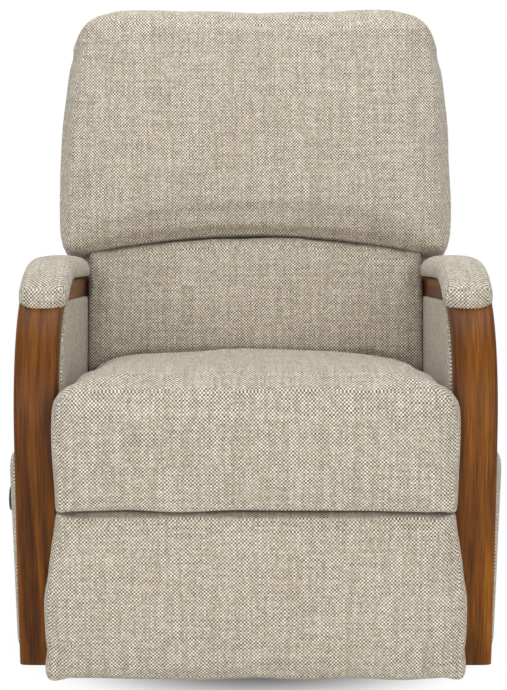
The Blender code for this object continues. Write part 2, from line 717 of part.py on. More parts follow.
# Chassis cross members and steel side plates
rail_half = PANEL_INNER - FIT
box("cross_rail_front", (-PLATE[0] + FIT, FRONT_RAIL_Y[0], CROSS_RAIL_Z[0]),
    (PLATE[0] - FIT, FRONT_RAIL_Y[1], CROSS_RAIL_Z[1]), FRAME_WOOD, CHASSIS, 0.002)
box("rear_rail", (-rail_half, REAR_RAIL_Y[0], CROSS_RAIL_Z[0]),
    (rail_half, REAR_RAIL_Y[1], REAR_RAIL_TOP), FABRIC, CHASSIS, 0.008)
plate_outline = [
    (PLATE_FRONT + 0.020, PLATE_LOW), (PLATE_REAR - 0.010, PLATE_LOW), (PLATE_REAR, PLATE_LOW + 0.010),
    (PLATE_REAR, 0.160), (PLATE_REAR - 0.050, 0.230), (0.125, PLATE_TOP - 0.010),
    (0.115, PLATE_TOP), (PLATE_FRONT + 0.010, PLATE_TOP), (PLATE_FRONT, PLATE_TOP - 0.010),
    (PLATE_FRONT, PLATE_LOW + 0.020),
]
foot_track = [tuple(tong_points(k / 8)["foot"]) for k in range(9)]
slide = (-math.cos(SEAT_CLIMB), math.sin(SEAT_CLIMB))
plate_holes = [circle(PIVOT["shaft"], SHAFT_R + PIN_PLAY, 14), groove(foot_track, BAR_PIN_R + PIN_PLAY)]
plate_holes += [circle((y, GLIDE_LOW), GLIDE_PIN_R + PIN_PLAY) for y in GLIDE_YS]
for y in STUD_YS:
    track = [(y + slide[0] * d, STUD_Z + slide[1] * d) for d in (0.0, SEAT_TRAVEL / 2, SEAT_TRAVEL)]
    plate_holes.append(groove(track, STUD_R + PIN_PLAY))
lever_hole = circle(LEVER_HUB, SHAFT_R + PIN_PLAY, 14)
for side, s in SIDES:
    holes = plate_holes + [lever_hole] if side == "left" else plate_holes
    plate(f"side_plate_{side}", plate_outline, (s * PLATE[0], s * PLATE[1]), STEEL, CHASSIS, holes)

# Seat frame, springs and cushion
rail_outline = rounded_box_outline(SEAT_RAIL_FRONT, SEAT_RAIL_TAIL, RAIL_Z0, RAIL_Z1, 0.008, 2)
for side, s in SIDES:
    studs = [(circle((y, STUD_Z), STUD_R), s * (PLATE[1] - FIT)) for y in STUD_YS]
    plate(f"seat_rail_{side}", rail_outline, (s * SEAT_RAIL_IN, s * SEAT_RAIL_OUT), FRAME_WOOD, SEAT,
          [circle((HINGE_Y, HINGE_Z), HINGE_PIN_R + PIN_PLAY)], studs)
for where, y in (("front", SEAT_RAIL_FRONT + 0.004), ("rear", SEAT_RAIL_REAR - SEAT_RAIL_WIDTH)):
    box(f"seat_rail_{where}", (-SEAT_RAIL_IN + FIT, y, RAIL_Z0),
        (SEAT_RAIL_IN - FIT, y + SEAT_RAIL_WIDTH, RAIL_Z1), FRAME_WOOD, SEAT, 0.002)
wire = circle((0.0, 0.0), SPRING_WIRE_R, 5)
spring_y0 = SEAT_RAIL_FRONT + 0.004 + SEAT_RAIL_WIDTH + FIT
spring_y1 = SEAT_RAIL_REAR - SEAT_RAIL_WIDTH - FIT
for number, x in enumerate(SPRING_XS, 1):
    wave = []
    for k in range(37):
        part = k / 36
        ease = min(1.0, max(0.0, 12.0 * min(part, 1.0 - part) - 0.3))
        wave.append((x + SPRING_SWING * ease * math.sin(2.0 * math.pi * 6.0 * part),
                     spring_y0 + (spring_y1 - spring_y0) * part, RAIL_Z1 - 0.004))
    sweep(f"seat_spring_{number}", wave, (0.0, 0.0, 1.0), wire, STEEL, SEAT)


def seat_section(y):
    """Width and height of the seat cushion at a place from front to back."""
    ear = 1.0 - blend(y, SEAT_EAR_REAR - 0.006, SEAT_EAR_REAR + 0.002)
    wide = SEAT_HALF + (SEAT_EAR_HALF - SEAT_HALF) * ear
    deck = RAIL_Z1 + REST_GAP
    low = SEAT_LIP + (deck - SEAT_LIP) * blend(y, SEAT_STEP - 0.018, SEAT_STEP)
    crown = SEAT_CROWN + (SEAT_BACK_TOP - SEAT_CROWN) * blend(y, SEAT_STEP, SEAT_REAR)
    return (-wide, wide, low, crown - seat_lift(y))


def seat_lift(y):
    """How far the middle of the seat top stands above its sides: more towards the rear."""
    return SEAT_LIFT_FRONT + (SEAT_LIFT_REAR - SEAT_LIFT_FRONT) * blend(y, SEAT_STEP, SEAT_REAR)


def seat_crown(x, y, z):
    """Lift the middle of the seat top."""
    lift = max(0.0, 1.0 - (x / SEAT_HALF) ** 2) * blend(z, RAIL_Z1 + 0.03, SEAT_BACK_TOP - SEAT_LIFT_REAR)
    return (x, y, z + seat_lift(y) * lift)


seat_marks = (SEAT_EAR_REAR - 0.006, SEAT_EAR_REAR + 0.002, SEAT_STEP - 0.018, SEAT_STEP)
cushion("seat_cushion", (SEAT_FRONT, SEAT_REAR), (SEAT_ROUND, 0.012), seat_section, FABRIC, SEAT, "y",
        seat_crown, (0.008, SEAT_SHOULDER), 9, seat_marks, (0.20, 1.0))

# Back frame, hinge brackets, cushions and outer back
for side, s in SIDES:
    box(f"back_post_{side}", (min(s * BACK_POST_IN, s * BACK_POST_OUT), 0.0, -0.030),
        (max(s * BACK_POST_IN, s * BACK_POST_OUT), BACK_FRAME_DEEP, BACK_FRAME_TOP), FRAME_WOOD, BACK, 0.003)
    plate(f"back_hinge_{side}", bar((0.0, 0.0), (0.024, 0.105), 0.019, 0.016),
          (s * (BACK_POST_OUT + FIT), s * (BACK_POST_OUT + 0.005)), STEEL, BACK,
          pins=[(circle((0.0, 0.0), HINGE_PIN_R), s * (SEAT_RAIL_OUT - FIT))])
for where, z in (("top", BACK_FRAME_TOP - 0.045), ("bottom", 0.100)):
    box(f"back_rail_{where}", (-BACK_POST_IN + FIT, 0.006, z),
        (BACK_POST_IN - FIT, BACK_FRAME_DEEP - 0.006, z + 0.045), FRAME_WOOD, BACK, 0.002)


def pillow_section(z):
    """Width and depth of the head pillow at a height; slightly pinched below the top corners."""
    part = (z - PILLOW_LOW) / (PILLOW_TOP - PILLOW_LOW)
    pinch = 0.002 * math.exp(-((part - 0.86) / 0.06) ** 2)
    wide = PILLOW_HALF_LOW - PILLOW_TAPER * blend(part, 0.30, 1.0) - pinch
    lean = 0.020 * part**2
    return (-wide, wide, PILLOW_FRONT + lean, BACK_FRAME_DEEP)


def upper_corner(x, z):
    """How far the back's upper corners fall at a place across: a quarter ellipse at each end."""
    part = (z - PILLOW_LOW) / (PILLOW_TOP - PILLOW_LOW)
    out = min(1.0, max(0.0, (abs(x) - PILLOW_HALF_TOP) / CORNER_RUN + 1.0))
    return CORNER_DROP * (1.0 - math.sqrt(1.0 - out**2)) * blend(part, 0.60, 1.0)


def pillow_shape(x, y, z):
    """Arch the pillow's lower edge and round its upper corners off."""
    part = (z - PILLOW_LOW) / (PILLOW_TOP - PILLOW_LOW)
    arch = PILLOW_ARCH * (x / PILLOW_HALF_LOW) ** 2 * max(0.0, 1.0 - 1.6 * part)
    return (x, y, z - arch - upper_corner(x, z))


pillow = cushion("head_pillow", (PILLOW_LOW, PILLOW_TOP), (0.018, 0.026), pillow_section, FABRIC, BACK, "z",
                 pillow_shape, (PILLOW_ROUND, 0.004), 8, (), (1.0, 0.1))
hollow(pillow, "frame_recess", (-BACK_POST_OUT - 0.008, -REST_GAP, 0.10),
       (BACK_POST_OUT + 0.008, BACK_FRAME_DEEP + 0.05, BACK_FRAME_TOP + SOFT_GAP), BACK)


def lumbar_section(z):
    """Width and depth of the lumbar cushion, fullest in the middle."""
    part = (z - LUMBAR_LOW) / (PILLOW_LOW - LUMBAR_LOW)
    full = math.sin(math.pi * min(1.0, max(0.0, part)))
    return (-LUMBAR_HALF, LUMBAR_HALF, LUMBAR_FRONT - 0.008 * full, -REST_GAP)


def lumbar_shape(x, y, z):
    """Follow the arch of the pillow above."""
    part = (z - LUMBAR_LOW) / (PILLOW_LOW - LUMBAR_LOW)
    return (x, y, z - PILLOW_ARCH * (abs(x) / PILLOW_HALF_LOW) ** 2 * part)


cushion("lumbar_cushion", (LUMBAR_LOW, PILLOW_LOW - SOFT_GAP), (0.016, 0.012), lumbar_section, FABRIC, BACK,
        "z", lumbar_shape, (LUMBAR_ROUND, 0.006), 4, (), (1.0, 0.3))


def shell_section(z):
    """Width and depth of the padded outer back: narrow between the arms, wide behind the pillow."""
    step = blend(z, SHELL_STEP - 0.012, SHELL_STEP + 0.012)
    wide = SHELL_HALF_LOW + (SHELL_HALF_TOP - SHELL_HALF_LOW) * step
    wide -= PILLOW_TAPER * blend((z - PILLOW_LOW) / (PILLOW_TOP - PILLOW_LOW), 0.30, 1.0)
    deep = SHELL_REAR - 0.014 * blend(z, 0.45, PILLOW_TOP) - 0.030 * (1.0 - blend(z, SHELL_LOW, 0.25))
    return (-wide, wide, BACK_FRAME_DEEP + REST_GAP, deep)


def shell_shape(x, y, z):
    """Match the pillow's round upper corners."""
    return (x, y, z - upper_corner(x, z))


shell_marks = (SHELL_STEP - 0.012, SHELL_STEP + 0.012)
cushion("outer_back", (SHELL_LOW, PILLOW_TOP - 0.004), (0.016, 0.030), shell_section, FABRIC, BACK, "z",
        shell_shape, (0.004, SHELL_ROUND), 9, shell_marks, (0.1, 1.0))

# Lever, its crank and rod, drive shaft and footrest tongs
bore = circle(PIVOT["shaft"], SHAFT_R + FIT, 14)
lever_x = -COVER_OUTER - LEVER_GAP
shaft_end = PLATE[1] - FIT
plate("drive_shaft", circle(PIVOT["shaft"], SHAFT_R, 14), (-shaft_end, shaft_end), STEEL, DRIVE)
plate("recline_lever", bar(LEVER_HUB, LEVER_TIP, LEVER_HUB_R, LEVER_TIP_R, 9),
      (lever_x - LEVER_THICK, lever_x), PLASTIC, LEVER)
crank_pin = tuple(Vector(LEVER_HUB) - tong_a(TONG_A) * CRANK)
drive_pin = tuple(PIVOT["shaft"] - tong_a(TONG_A) * CRANK)
plate("lever_crank", bar(LEVER_HUB, crank_pin, 0.014, BAR_R), (-LAYER_A[1], -LAYER_A[0]), STEEL, LEVER,
      pins=[(circle(LEVER_HUB, SHAFT_R, 14), lever_x + FIT),
            (circle(crank_pin, BAR_PIN_R), -LAYER_B[0] - FIT)])
plate("lever_rod", bar(crank_pin, drive_pin, BAR_R), (-LAYER_B[1], -LAYER_B[0]), STEEL, ROD,
      [circle(crank_pin, BAR_PIN_R + PIN_PLAY), circle(drive_pin, BAR_PIN_R + PIN_PLAY)])


def eye(name):
    """A clearance hole at one of the tongs' pivots."""
    return circle(PIVOT[name], BAR_PIN_R + PIN_PLAY)


def rivet(name, end):
    """A pin at one of the tongs' pivots."""
    return (circle(PIVOT[name], BAR_PIN_R), end)


board_y = FOOT_REAR + REST_GAP
board_rear = board_y + BOARD_THICK
for side, s in SIDES:
    a_span = (s * LAYER_A[0], s * LAYER_A[1])
    b_span = (s * LAYER_B[0], s * LAYER_B[1])
    inward = s * (LAYER_B[0] + FIT)
    outward = s * (LAYER_A[1] - FIT)
    top = drive_pin if side == "left" else PIVOT["shaft"]
    rivets = [rivet("cross_1", inward), rivet("knee_a", inward)]
    if side == "left":
        rivets.append((circle(drive_pin, BAR_PIN_R), inward))
    plate(f"tong_drive_{side}", bar(top, PIVOT["knee_a"], 0.014, BAR_R), a_span, STEEL, DRIVE, [bore], rivets)
    plate(f"tong_rise_{side}", bar(PIVOT["foot"], PIVOT["knee_b"], BAR_R), b_span, STEEL, TONG_B1,
          [eye("cross_1")], [rivet("foot", s * (PLATE[1] - FIT)), rivet("knee_b", outward)])
    plate(f"tong_reach_{side}", bar(PIVOT["knee_b"], PIVOT["end_a"], BAR_R), a_span, STEEL, TONG_A2,
          [eye("knee_b")], [rivet("cross_2", inward), rivet("end_a", inward)])
    plate(f"tong_carry_{side}", bar(PIVOT["knee_a"], PIVOT["head"], BAR_R), b_span, STEEL, TONG_B2,
          [eye("knee_a"), eye("cross_2")], [rivet("head", outward)])
    plate(f"tong_stay_{side}", bar(PIVOT["end_a"], PIVOT["stay"], BAR_R), b_span, STEEL, TONG_B3,
          [eye("end_a"), eye("stay")])
    tab = [(board_rear + FIT, TAB_Z[0]), (board_rear + FIT + TAB_THICK, TAB_Z[0]),
           (board_rear + FIT + TAB_THICK, TAB_Z[1]), (board_rear + FIT, TAB_Z[1])]
    plate(f"footrest_bracket_{side}", bar(PIVOT["head"], PIVOT["stay"], BRACKET_R), a_span, STEEL, FOOTREST,
          [eye("head")], [rivet("stay", inward), (tab, s * TAB_REACH)])

# Footrest board and pad
box("footrest_board", (-BOARD_HALF, board_y, BOARD_LOW), (BOARD_HALF, board_rear, BOARD_TOP),
    FRAME_WOOD, FOOTREST, 0.002)


def foot_section(z):
    """Width and depth of the footrest pad at a height."""
    part = (z - FOOT_LOW) / (FOOT_TOP - FOOT_LOW)
    wide = FOOT_HALF_LOW + (FOOT_HALF_TOP - FOOT_HALF_LOW) * blend(part, 0.35, 1.0)
    return (-wide, wide, FOOT_FRONT, FOOT_REAR)


cushion("footrest_pad", (FOOT_LOW, FOOT_TOP), (0.016, 0.008), foot_section, FABRIC, FOOTREST, "z", None,
        (FOOT_ROUND, 0.006), 5, (), (1.0, 0.5))
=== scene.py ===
import json
import logging
import math
from dataclasses import dataclass, field
from enum import Enum
from typing import Any

import bpy
import numpy as np
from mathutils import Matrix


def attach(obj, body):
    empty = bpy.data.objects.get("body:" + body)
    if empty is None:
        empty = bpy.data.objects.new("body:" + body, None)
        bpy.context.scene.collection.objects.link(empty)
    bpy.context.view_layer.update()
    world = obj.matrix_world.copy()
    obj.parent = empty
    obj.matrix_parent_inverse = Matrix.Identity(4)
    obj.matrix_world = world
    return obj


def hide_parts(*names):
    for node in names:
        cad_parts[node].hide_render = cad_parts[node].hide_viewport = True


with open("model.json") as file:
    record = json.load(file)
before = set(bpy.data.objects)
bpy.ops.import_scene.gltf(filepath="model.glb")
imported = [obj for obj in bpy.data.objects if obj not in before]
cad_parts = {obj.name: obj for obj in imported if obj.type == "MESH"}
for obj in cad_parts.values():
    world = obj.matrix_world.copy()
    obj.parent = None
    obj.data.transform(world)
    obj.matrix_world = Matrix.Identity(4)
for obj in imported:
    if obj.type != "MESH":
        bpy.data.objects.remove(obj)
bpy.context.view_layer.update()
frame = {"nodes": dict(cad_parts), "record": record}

LOG = logging.getLogger("recliner")
logging.basicConfig(level=logging.INFO, format="%(message)s")

Array = np.ndarray
Mesh = tuple[Array, list[Array]]
Pair = tuple[float, float]
Triple = tuple[float, float, float]
Socket = bpy.types.NodeSocket
Tree = bpy.types.NodeTree

FLAT: Triple = (1.0, 1.0, 0.0)
WHITE = (1.0, 1.0, 1.0, 1.0)
MM_PER_M = 1000.0


class Side(Enum):
    """The two sides of the chair, by the sign of X."""

    LEFT = -1
    RIGHT = 1

    @property
    def word(self) -> str:
        """The side's name in the part's own node names."""
        return self.name.lower()


class Slot(Enum):
    """The part's finishes, by the names that its record gives them."""

    UPHOLSTERY = "upholstery"
    BENT_WOOD = "bent_wood"
    FRAME_WOOD = "frame_wood"
    MECHANISM_STEEL = "mechanism_steel"
    BLACK_STEEL = "black_steel"
    DARK_PLASTIC = "dark_plastic"
    BEARING_NYLON = "bearing_nylon"


# Finishes


def to_linear(code: str) -> tuple[float, float, float, float]:
    """Turn an sRGB hex colour into linear light.

    Args:
        code: six hex digits after a hash.
    Returns:
        Red, green, blue and alpha.
    """
    part = np.array([int(code[k:k + 2], 16) for k in (1, 3, 5)]) / 255.0
    line = np.where(part <= 0.04045, part / 12.92, ((part + 0.055) / 1.055) ** 2.4)
    return (float(line[0]), float(line[1]), float(line[2]), 1.0)


def add_node(tree: Tree, kind: str, inputs: dict[Any, Any] | None = None,
             **settings: Any) -> bpy.types.Node:
    """Add a node, set its options, and fill or link its inputs.

    Args:
        tree: the node tree that takes it.
        kind: Blender's name for the node.
        inputs: socket name or number to a value, or to another node's output socket.
        settings: the node's own options.
    Returns:
        The node.
    """
    node = tree.nodes.new(kind)
    for key, value in settings.items():
        setattr(node, key, value)
    for key, value in (inputs or {}).items():
        if isinstance(value, Socket):
            tree.links.new(value, node.inputs[key])
        else:
            node.inputs[key].default_value = value
    return node


def vector_math(tree: Tree, operation: str, one: Socket, two: Socket | Triple = (0.0, 0.0, 0.0),
                output: int | str = 0) -> Socket:
    """One step of vector arithmetic.

    Args:
        tree: the node tree.
        operation: Blender's name for the step.
        one: the first vector.
        two: the second one, where the step takes it.
        output: 0 for a vector, "Value" for a number.
    Returns:
        The result's socket.
    """
    node = add_node(tree, "ShaderNodeVectorMath", {0: one, 1: two}, operation=operation)
    return node.outputs[output]


def number_math(tree: Tree, operation: str, *values: Socket | float, clamp: bool = False) -> Socket:
    """One step of plain arithmetic.

    Args:
        tree: the node tree.
        operation: Blender's name for the step.
        values: the numbers that go in.
        clamp: keep the result between 0 and 1.
    Returns:
        The result's socket.
    """
    inputs = dict(enumerate(values))
    return add_node(tree, "ShaderNodeMath", inputs, operation=operation, use_clamp=clamp).outputs[0]


def choose(tree: Tree, share: Socket, one: Socket, two: Socket) -> Socket:
    """The first number where the share is 0, the second where it is 1."""
    return add_node(tree, "ShaderNodeMix", {0: share, 2: one, 3: two}, data_type="FLOAT").outputs[0]


def carry(tree: Tree, value: Socket, ends: Pair, start: Pair = (0.0, 1.0), kind: str = "LINEAR") -> Socket:
    """Carry a number from one stretch over to another.

    Args:
        tree: the node tree.
        value: the number.
        ends: what the stretch becomes.
        start: the stretch that it lies in.
        kind: Blender's name for the way between the ends.
    Returns:
        The new number's socket.
    """
    inputs = {0: value, 1: start[0], 2: start[1], 3: ends[0], 4: ends[1]}
    return add_node(tree, "ShaderNodeMapRange", inputs, interpolation_type=kind).outputs[0]


def set_inputs(node: bpy.types.Node, values: dict[str, Any]) -> None:
    """Give a node's inputs plain values."""
    for key, value in values.items():
        node.inputs[key].default_value = value


def add_relief(tree: Tree, shader: bpy.types.Node, height: Socket, strength: float, relief_mm: float) -> None:
    """Let a height tilt the shader's normals.

    Args:
        tree: the material's tree.
        shader: its shader.
        height: the height, as a number.
        strength: how much of it shows.
        relief_mm: what a height of 1 stands for.
    """
    inputs = {"Height": height, "Strength": strength, "Distance": relief_mm / MM_PER_M}
    tree.links.new(add_node(tree, "ShaderNodeBump", inputs).outputs[0], shader.inputs["Normal"])


def ramp(tree: Tree, value: Socket, stops: tuple[tuple[float, str], ...]) -> Socket:
    """Turn a number into a colour by a row of stops.

    Args:
        tree: the node tree.
        value: the number, 0 to 1.
        stops: places and hex colours.
    Returns:
        The colour socket.
    """
    node = add_node(tree, "ShaderNodeValToRGB", {0: value})
    band = node.color_ramp.elements
    while len(band) < len(stops):
        band.new(0.5)
    for stop, (place, code) in zip(band, stops):
        stop.position = place
        stop.color = to_linear(code)
    return node.outputs["Color"]


def blank(name: str) -> tuple[bpy.types.Material, Tree, bpy.types.Node]:
    """A new material with one Principled shader.

    Args:
        name: the material's name.
    Returns:
        The material, its tree and its shader.
    """
    made = bpy.data.materials.new(name)
    made.use_nodes = True
    return made, made.node_tree, made.node_tree.nodes["Principled BSDF"]


@dataclass(frozen=True)
class Tweed:
    """Woven polyester tweed: cream, oatmeal and taupe yarns crossed in a plain weave.

    The eye sees a matt cloth of fine light and dark crossings, with faint level and upright lines
    where a thicker or darker yarn runs, paler along its outline because of the fuzz. The yarns of the
    real cloth stand about 1 mm apart, too fine for the render, so they are drawn 2.7 mm apart.
    """

    name: str = "oatmeal_tweed"
    pitch_mm: float = 2.7
    yarn_run: float = 24.0
    crossing_share: float = 0.88
    faintest: float = 0.45
    yarn_share: float = 0.20
    stops: tuple[tuple[float, str], ...] = (
        (0.0, "#4F4538"), (0.25, "#8B7F6D"), (0.50, "#B9AE9B"), (0.75, "#DBD2C1"), (1.0, "#FCF5E8"))
    roughness: float = 0.92
    specular: float = 0.25
    sheen: Pair = (0.12, 0.45)
    relief_strength: float = 0.30
    relief_mm: float = 0.5
    sway_mm: float = 2.2
    sways_per_metre: float = 26.0

    def material(self) -> bpy.types.Material:
        """Build the cloth: which yarn lies on top, how strongly, that yarn's own tone, and the relief.

        The cloth is laid flat on the face that a point looks along most. At each crossing the level
        yarn is on top where the sum of the two cell numbers is even, the upright one where it is odd.
        Crossings are faint or strong at random, and a yarn keeps its tone for a run of crossings.

        Returns:
            The material.
        """
        made, tree, shader = blank(self.name)

        def tone(spot: Socket) -> Socket:
            cell = vector_math(tree, "FLOOR", spot)
            noise = add_node(tree, "ShaderNodeTexWhiteNoise", {"Vector": cell}, noise_dimensions="3D")
            return noise.outputs["Value"]

        per_metre = MM_PER_M / self.pitch_mm
        count = vector_math(tree, "MULTIPLY", self.laid_flat(tree), (per_metre, per_metre, 0.0))
        total = vector_math(tree, "DOT_PRODUCT", vector_math(tree, "FLOOR", count), FLAT, "Value")
        over = number_math(tree, "FLOORED_MODULO", total, 2.0)
        level = tone(vector_math(tree, "MULTIPLY", count, (1.0 / self.yarn_run, 1.0, 0.0)))
        upright = tone(vector_math(tree, "MULTIPLY", count, (1.0, 1.0 / self.yarn_run, 0.0)))
        strong = carry(tree, tone(count), (self.faintest, 1.0))
        crossing = carry(tree, over, (-self.crossing_share / 2.0, self.crossing_share / 2.0))
        yarn = carry(tree, choose(tree, over, level, upright),
                     (0.5 - self.yarn_share / 2.0, 0.5 + self.yarn_share / 2.0))
        mixed = number_math(tree, "MULTIPLY_ADD", crossing, strong, yarn)
        tree.links.new(ramp(tree, mixed, self.stops), shader.inputs["Base Color"])
        swell = vector_math(tree, "SINE", vector_math(tree, "MULTIPLY", count, (math.pi, math.pi, 0.0)))
        height = vector_math(tree, "DOT_PRODUCT", swell, FLAT, "Value")
        rough = number_math(tree, "ADD", height, mixed)
        add_relief(tree, shader, rough, self.relief_strength, self.relief_mm)
        set_inputs(shader, {"Roughness": self.roughness, "Specular IOR Level": self.specular,
                            "Sheen Weight": self.sheen[0], "Sheen Roughness": self.sheen[1]})
        return made

    def laid_flat(self, tree: Tree) -> Socket:
        """Two directions on the surface: x and z in front, y and z on a side, x and y on top.

        Args:
            tree: the material's tree.
        Returns:
            The place as metres across and metres up, with a slight sway of the yarns.
        """
        spot = add_node(tree, "ShaderNodeTexCoord").outputs
        noise = {"Vector": spot["Object"], "Scale": self.sways_per_metre, "Detail": 0.0}
        sway = add_node(tree, "ShaderNodeTexNoise", noise).outputs["Color"]
        push = vector_math(tree, "MULTIPLY", sway, (self.sway_mm / MM_PER_M,) * 3)
        bent = vector_math(tree, "ADD", spot["Object"], push)
        facing = vector_math(tree, "ABSOLUTE", spot["Normal"])
        x, y, z = add_node(tree, "ShaderNodeSeparateXYZ", {0: bent}).outputs
        nx, ny, nz = add_node(tree, "ShaderNodeSeparateXYZ", {0: facing}).outputs

        def most(one: Socket, two: Socket, three: Socket) -> Socket:
            return number_math(tree, "GREATER_THAN", one, number_math(tree, "MAXIMUM", two, three))

        across = choose(tree, most(nx, ny, nz), x, y)
        up = choose(tree, most(nz, nx, ny), z, y)
        return add_node(tree, "ShaderNodeCombineXYZ", {0: across, 1: up}).outputs[0]


@dataclass(frozen=True)
class BentBeech:
    """Steam-bent beech, stained walnut brown and lacquered satin.

    The grain runs along the strip, so the pattern reads the piece's own map, whose two directions
    are metres along the strip and metres round it. The eye sees long soft streaks from dark brown
    to amber, fine darker pores, and a soft highlight from the lacquer.
    """

    name: str = "walnut_stained_beech"
    streak_mm: Pair = (420.0, 24.0)
    pore_mm: Pair = (60.0, 2.4)
    details: Pair = (3.0, 1.0)
    distortion: float = 0.4
    pore_seen: Pair = (0.35, 0.70)
    pore_tone: Pair = (0.06, -0.09)
    stops: tuple[tuple[float, str], ...] = (
        (0.24, "#3B1B03"), (0.42, "#5B3108"), (0.58, "#7A470F"), (0.76, "#A5661B"))
    roughness: float = 0.42
    specular: float = 0.15
    coat: Pair = (0.04, 0.25)
    relief_strength: float = 0.12
    relief_mm: float = 0.4

    def material(self) -> bpy.types.Material:
        """Build the wood: wide streaks, fine pores taken off them, and the lacquer on top.

        Returns:
            The material.
        """
        made, tree, shader = blank(self.name)
        place = add_node(tree, "ShaderNodeTexCoord").outputs["UV"]
        layers = []
        for (long, wide), detail in zip((self.streak_mm, self.pore_mm), self.details):
            spot = vector_math(tree, "MULTIPLY", place, (MM_PER_M / long, MM_PER_M / wide, 1.0))
            noise = {"Vector": spot, "Scale": 1.0, "Detail": detail, "Distortion": self.distortion}
            layers.append(add_node(tree, "ShaderNodeTexNoise", noise).outputs["Fac"])
        pores = carry(tree, layers[1], self.pore_tone, self.pore_seen)
        tone = number_math(tree, "ADD", layers[0], pores, clamp=True)
        tree.links.new(ramp(tree, tone, self.stops), shader.inputs["Base Color"])
        add_relief(tree, shader, tone, self.relief_strength, self.relief_mm)
        set_inputs(shader, {"Roughness": self.roughness, "Specular IOR Level": self.specular,
                            "Coat Weight": self.coat[0], "Coat Roughness": self.coat[1]})
        return made


@dataclass(frozen=True)
class Plain:
    """A finish of nearly one colour, with a faint cloud of a second one and a grain of its own size.

    Frame timber shows faint boards, zinc-plated steel a cool spangle, powder coat and moulded
    plastic a fine even grain.
    """

    name: str
    dark: str
    light: str
    grain_mm: Triple
    metallic: float = 0.0
    roughness: float = 0.5
    relief_strength: float = 0.2
    relief_mm: float = 0.05
    detail: float = 2.0
    places: Pair = (0.3, 0.7)

    def material(self) -> bpy.types.Material:
        """Build the finish from one stretched noise.

        Returns:
            The material.
        """
        made, tree, shader = blank(self.name)
        place = add_node(tree, "ShaderNodeTexCoord").outputs["Object"]
        spot = vector_math(tree, "MULTIPLY", place, tuple(MM_PER_M / size for size in self.grain_mm))
        noise = {"Vector": spot, "Scale": 1.0, "Detail": self.detail}
        cloud = add_node(tree, "ShaderNodeTexNoise", noise).outputs["Fac"]
        stops = tuple(zip(self.places, (self.dark, self.light)))
        tree.links.new(ramp(tree, cloud, stops), shader.inputs["Base Color"])
        add_relief(tree, shader, cloud, self.relief_strength, self.relief_mm)
        set_inputs(shader, {"Metallic": self.metallic, "Roughness": self.roughness})
        return made


@dataclass
class Finishes:
    """All the chair's materials, one for each of the record's slots."""

    made: dict[Slot, bpy.types.Material] = field(default_factory=dict)

    def build(self) -> None:
        """Make every material."""
        recipes = {
            Slot.UPHOLSTERY: Tweed(),
            Slot.BENT_WOOD: BentBeech(),
            Slot.FRAME_WOOD: Plain("sawn_pine", "#A98457", "#C9A877", (4.0, 120.0, 14.0), 0.0, 0.72),
            Slot.MECHANISM_STEEL: Plain("zinc_plated_steel", "#8E9092", "#B9BBBC", (9.0,) * 3, 1.0, 0.38),
            Slot.BLACK_STEEL: Plain("black_powder_coat", "#151516", "#1F1F21", (1.2,) * 3, 0.0, 0.48),
            Slot.DARK_PLASTIC: Plain("moulded_black_abs", "#1C1C1D", "#29292B", (0.9,) * 3, 0.0, 0.46),
            Slot.BEARING_NYLON: Plain("natural_nylon", "#CFC9B8", "#DDD8C9", (3.0,) * 3, 0.0, 0.5),
        }
        for slot, recipe in recipes.items():
            self.made[slot] = recipe.material()

    def dress_nodes(self) -> None:
        """Give every node of the part the material of its slot."""
        slots = {row["node"]: Slot(row["material_slot"]) for row in frame["record"]["subparts"]}
        for name, obj in frame["nodes"].items():
            obj.data.materials.clear()
            obj.data.materials.append(self.made[slots[name]])


# Shapes

LEAST_RADIUS = 0.0015
LEVER_SHAFT: Pair = (-0.100, 0.282)
SHAFT_HOLE = 0.012


def ease(value: Array, start: float, end: float) -> Array:
    """Smooth step: 0 before start, 1 after end, 3t^2 - 2t^3 in between."""
    part = np.clip((value - start) / (end - start), 0.0, 1.0)
    return part * part * (3.0 - 2.0 * part)


def pressed(height: Array, reach: float) -> Array:
    """Heights over a flat bed: h * (h / reach)^1.5 below a reach, so drawn down, and unchanged above.

    Args:
        height: heights over the bed.
        reach: height from which nothing changes.
    Returns:
        The new heights, none below 0.
    """
    return height * np.clip(height / reach, 0.0, 1.0) ** 1.5


def signed_power(value: Array, power: float) -> Array:
    """The value's size raised to a power, with its sign kept."""
    return np.sign(value) * np.abs(value) ** power


def stations(low: float, high: float, count: int) -> Array:
    """Places from low to high, closer together near both ends, as a half cosine spaces them."""
    return low + (high - low) * (0.5 - 0.5 * np.cos(np.linspace(0.0, math.pi, count)))


def end_inset(along: Array, low: float, high: float, rounds: Pair) -> Array:
    """How far a section is drawn in near the two ends, a quarter circle of the given radius at each."""
    near = np.clip(along - low, 0.0, rounds[0])
    far = np.clip(high - along, 0.0, rounds[1])
    first = rounds[0] - np.sqrt(np.maximum(rounds[0] ** 2 - (rounds[0] - near) ** 2, 0.0))
    last = rounds[1] - np.sqrt(np.maximum(rounds[1] ** 2 - (rounds[1] - far) ** 2, 0.0))
    return np.maximum(first, last)


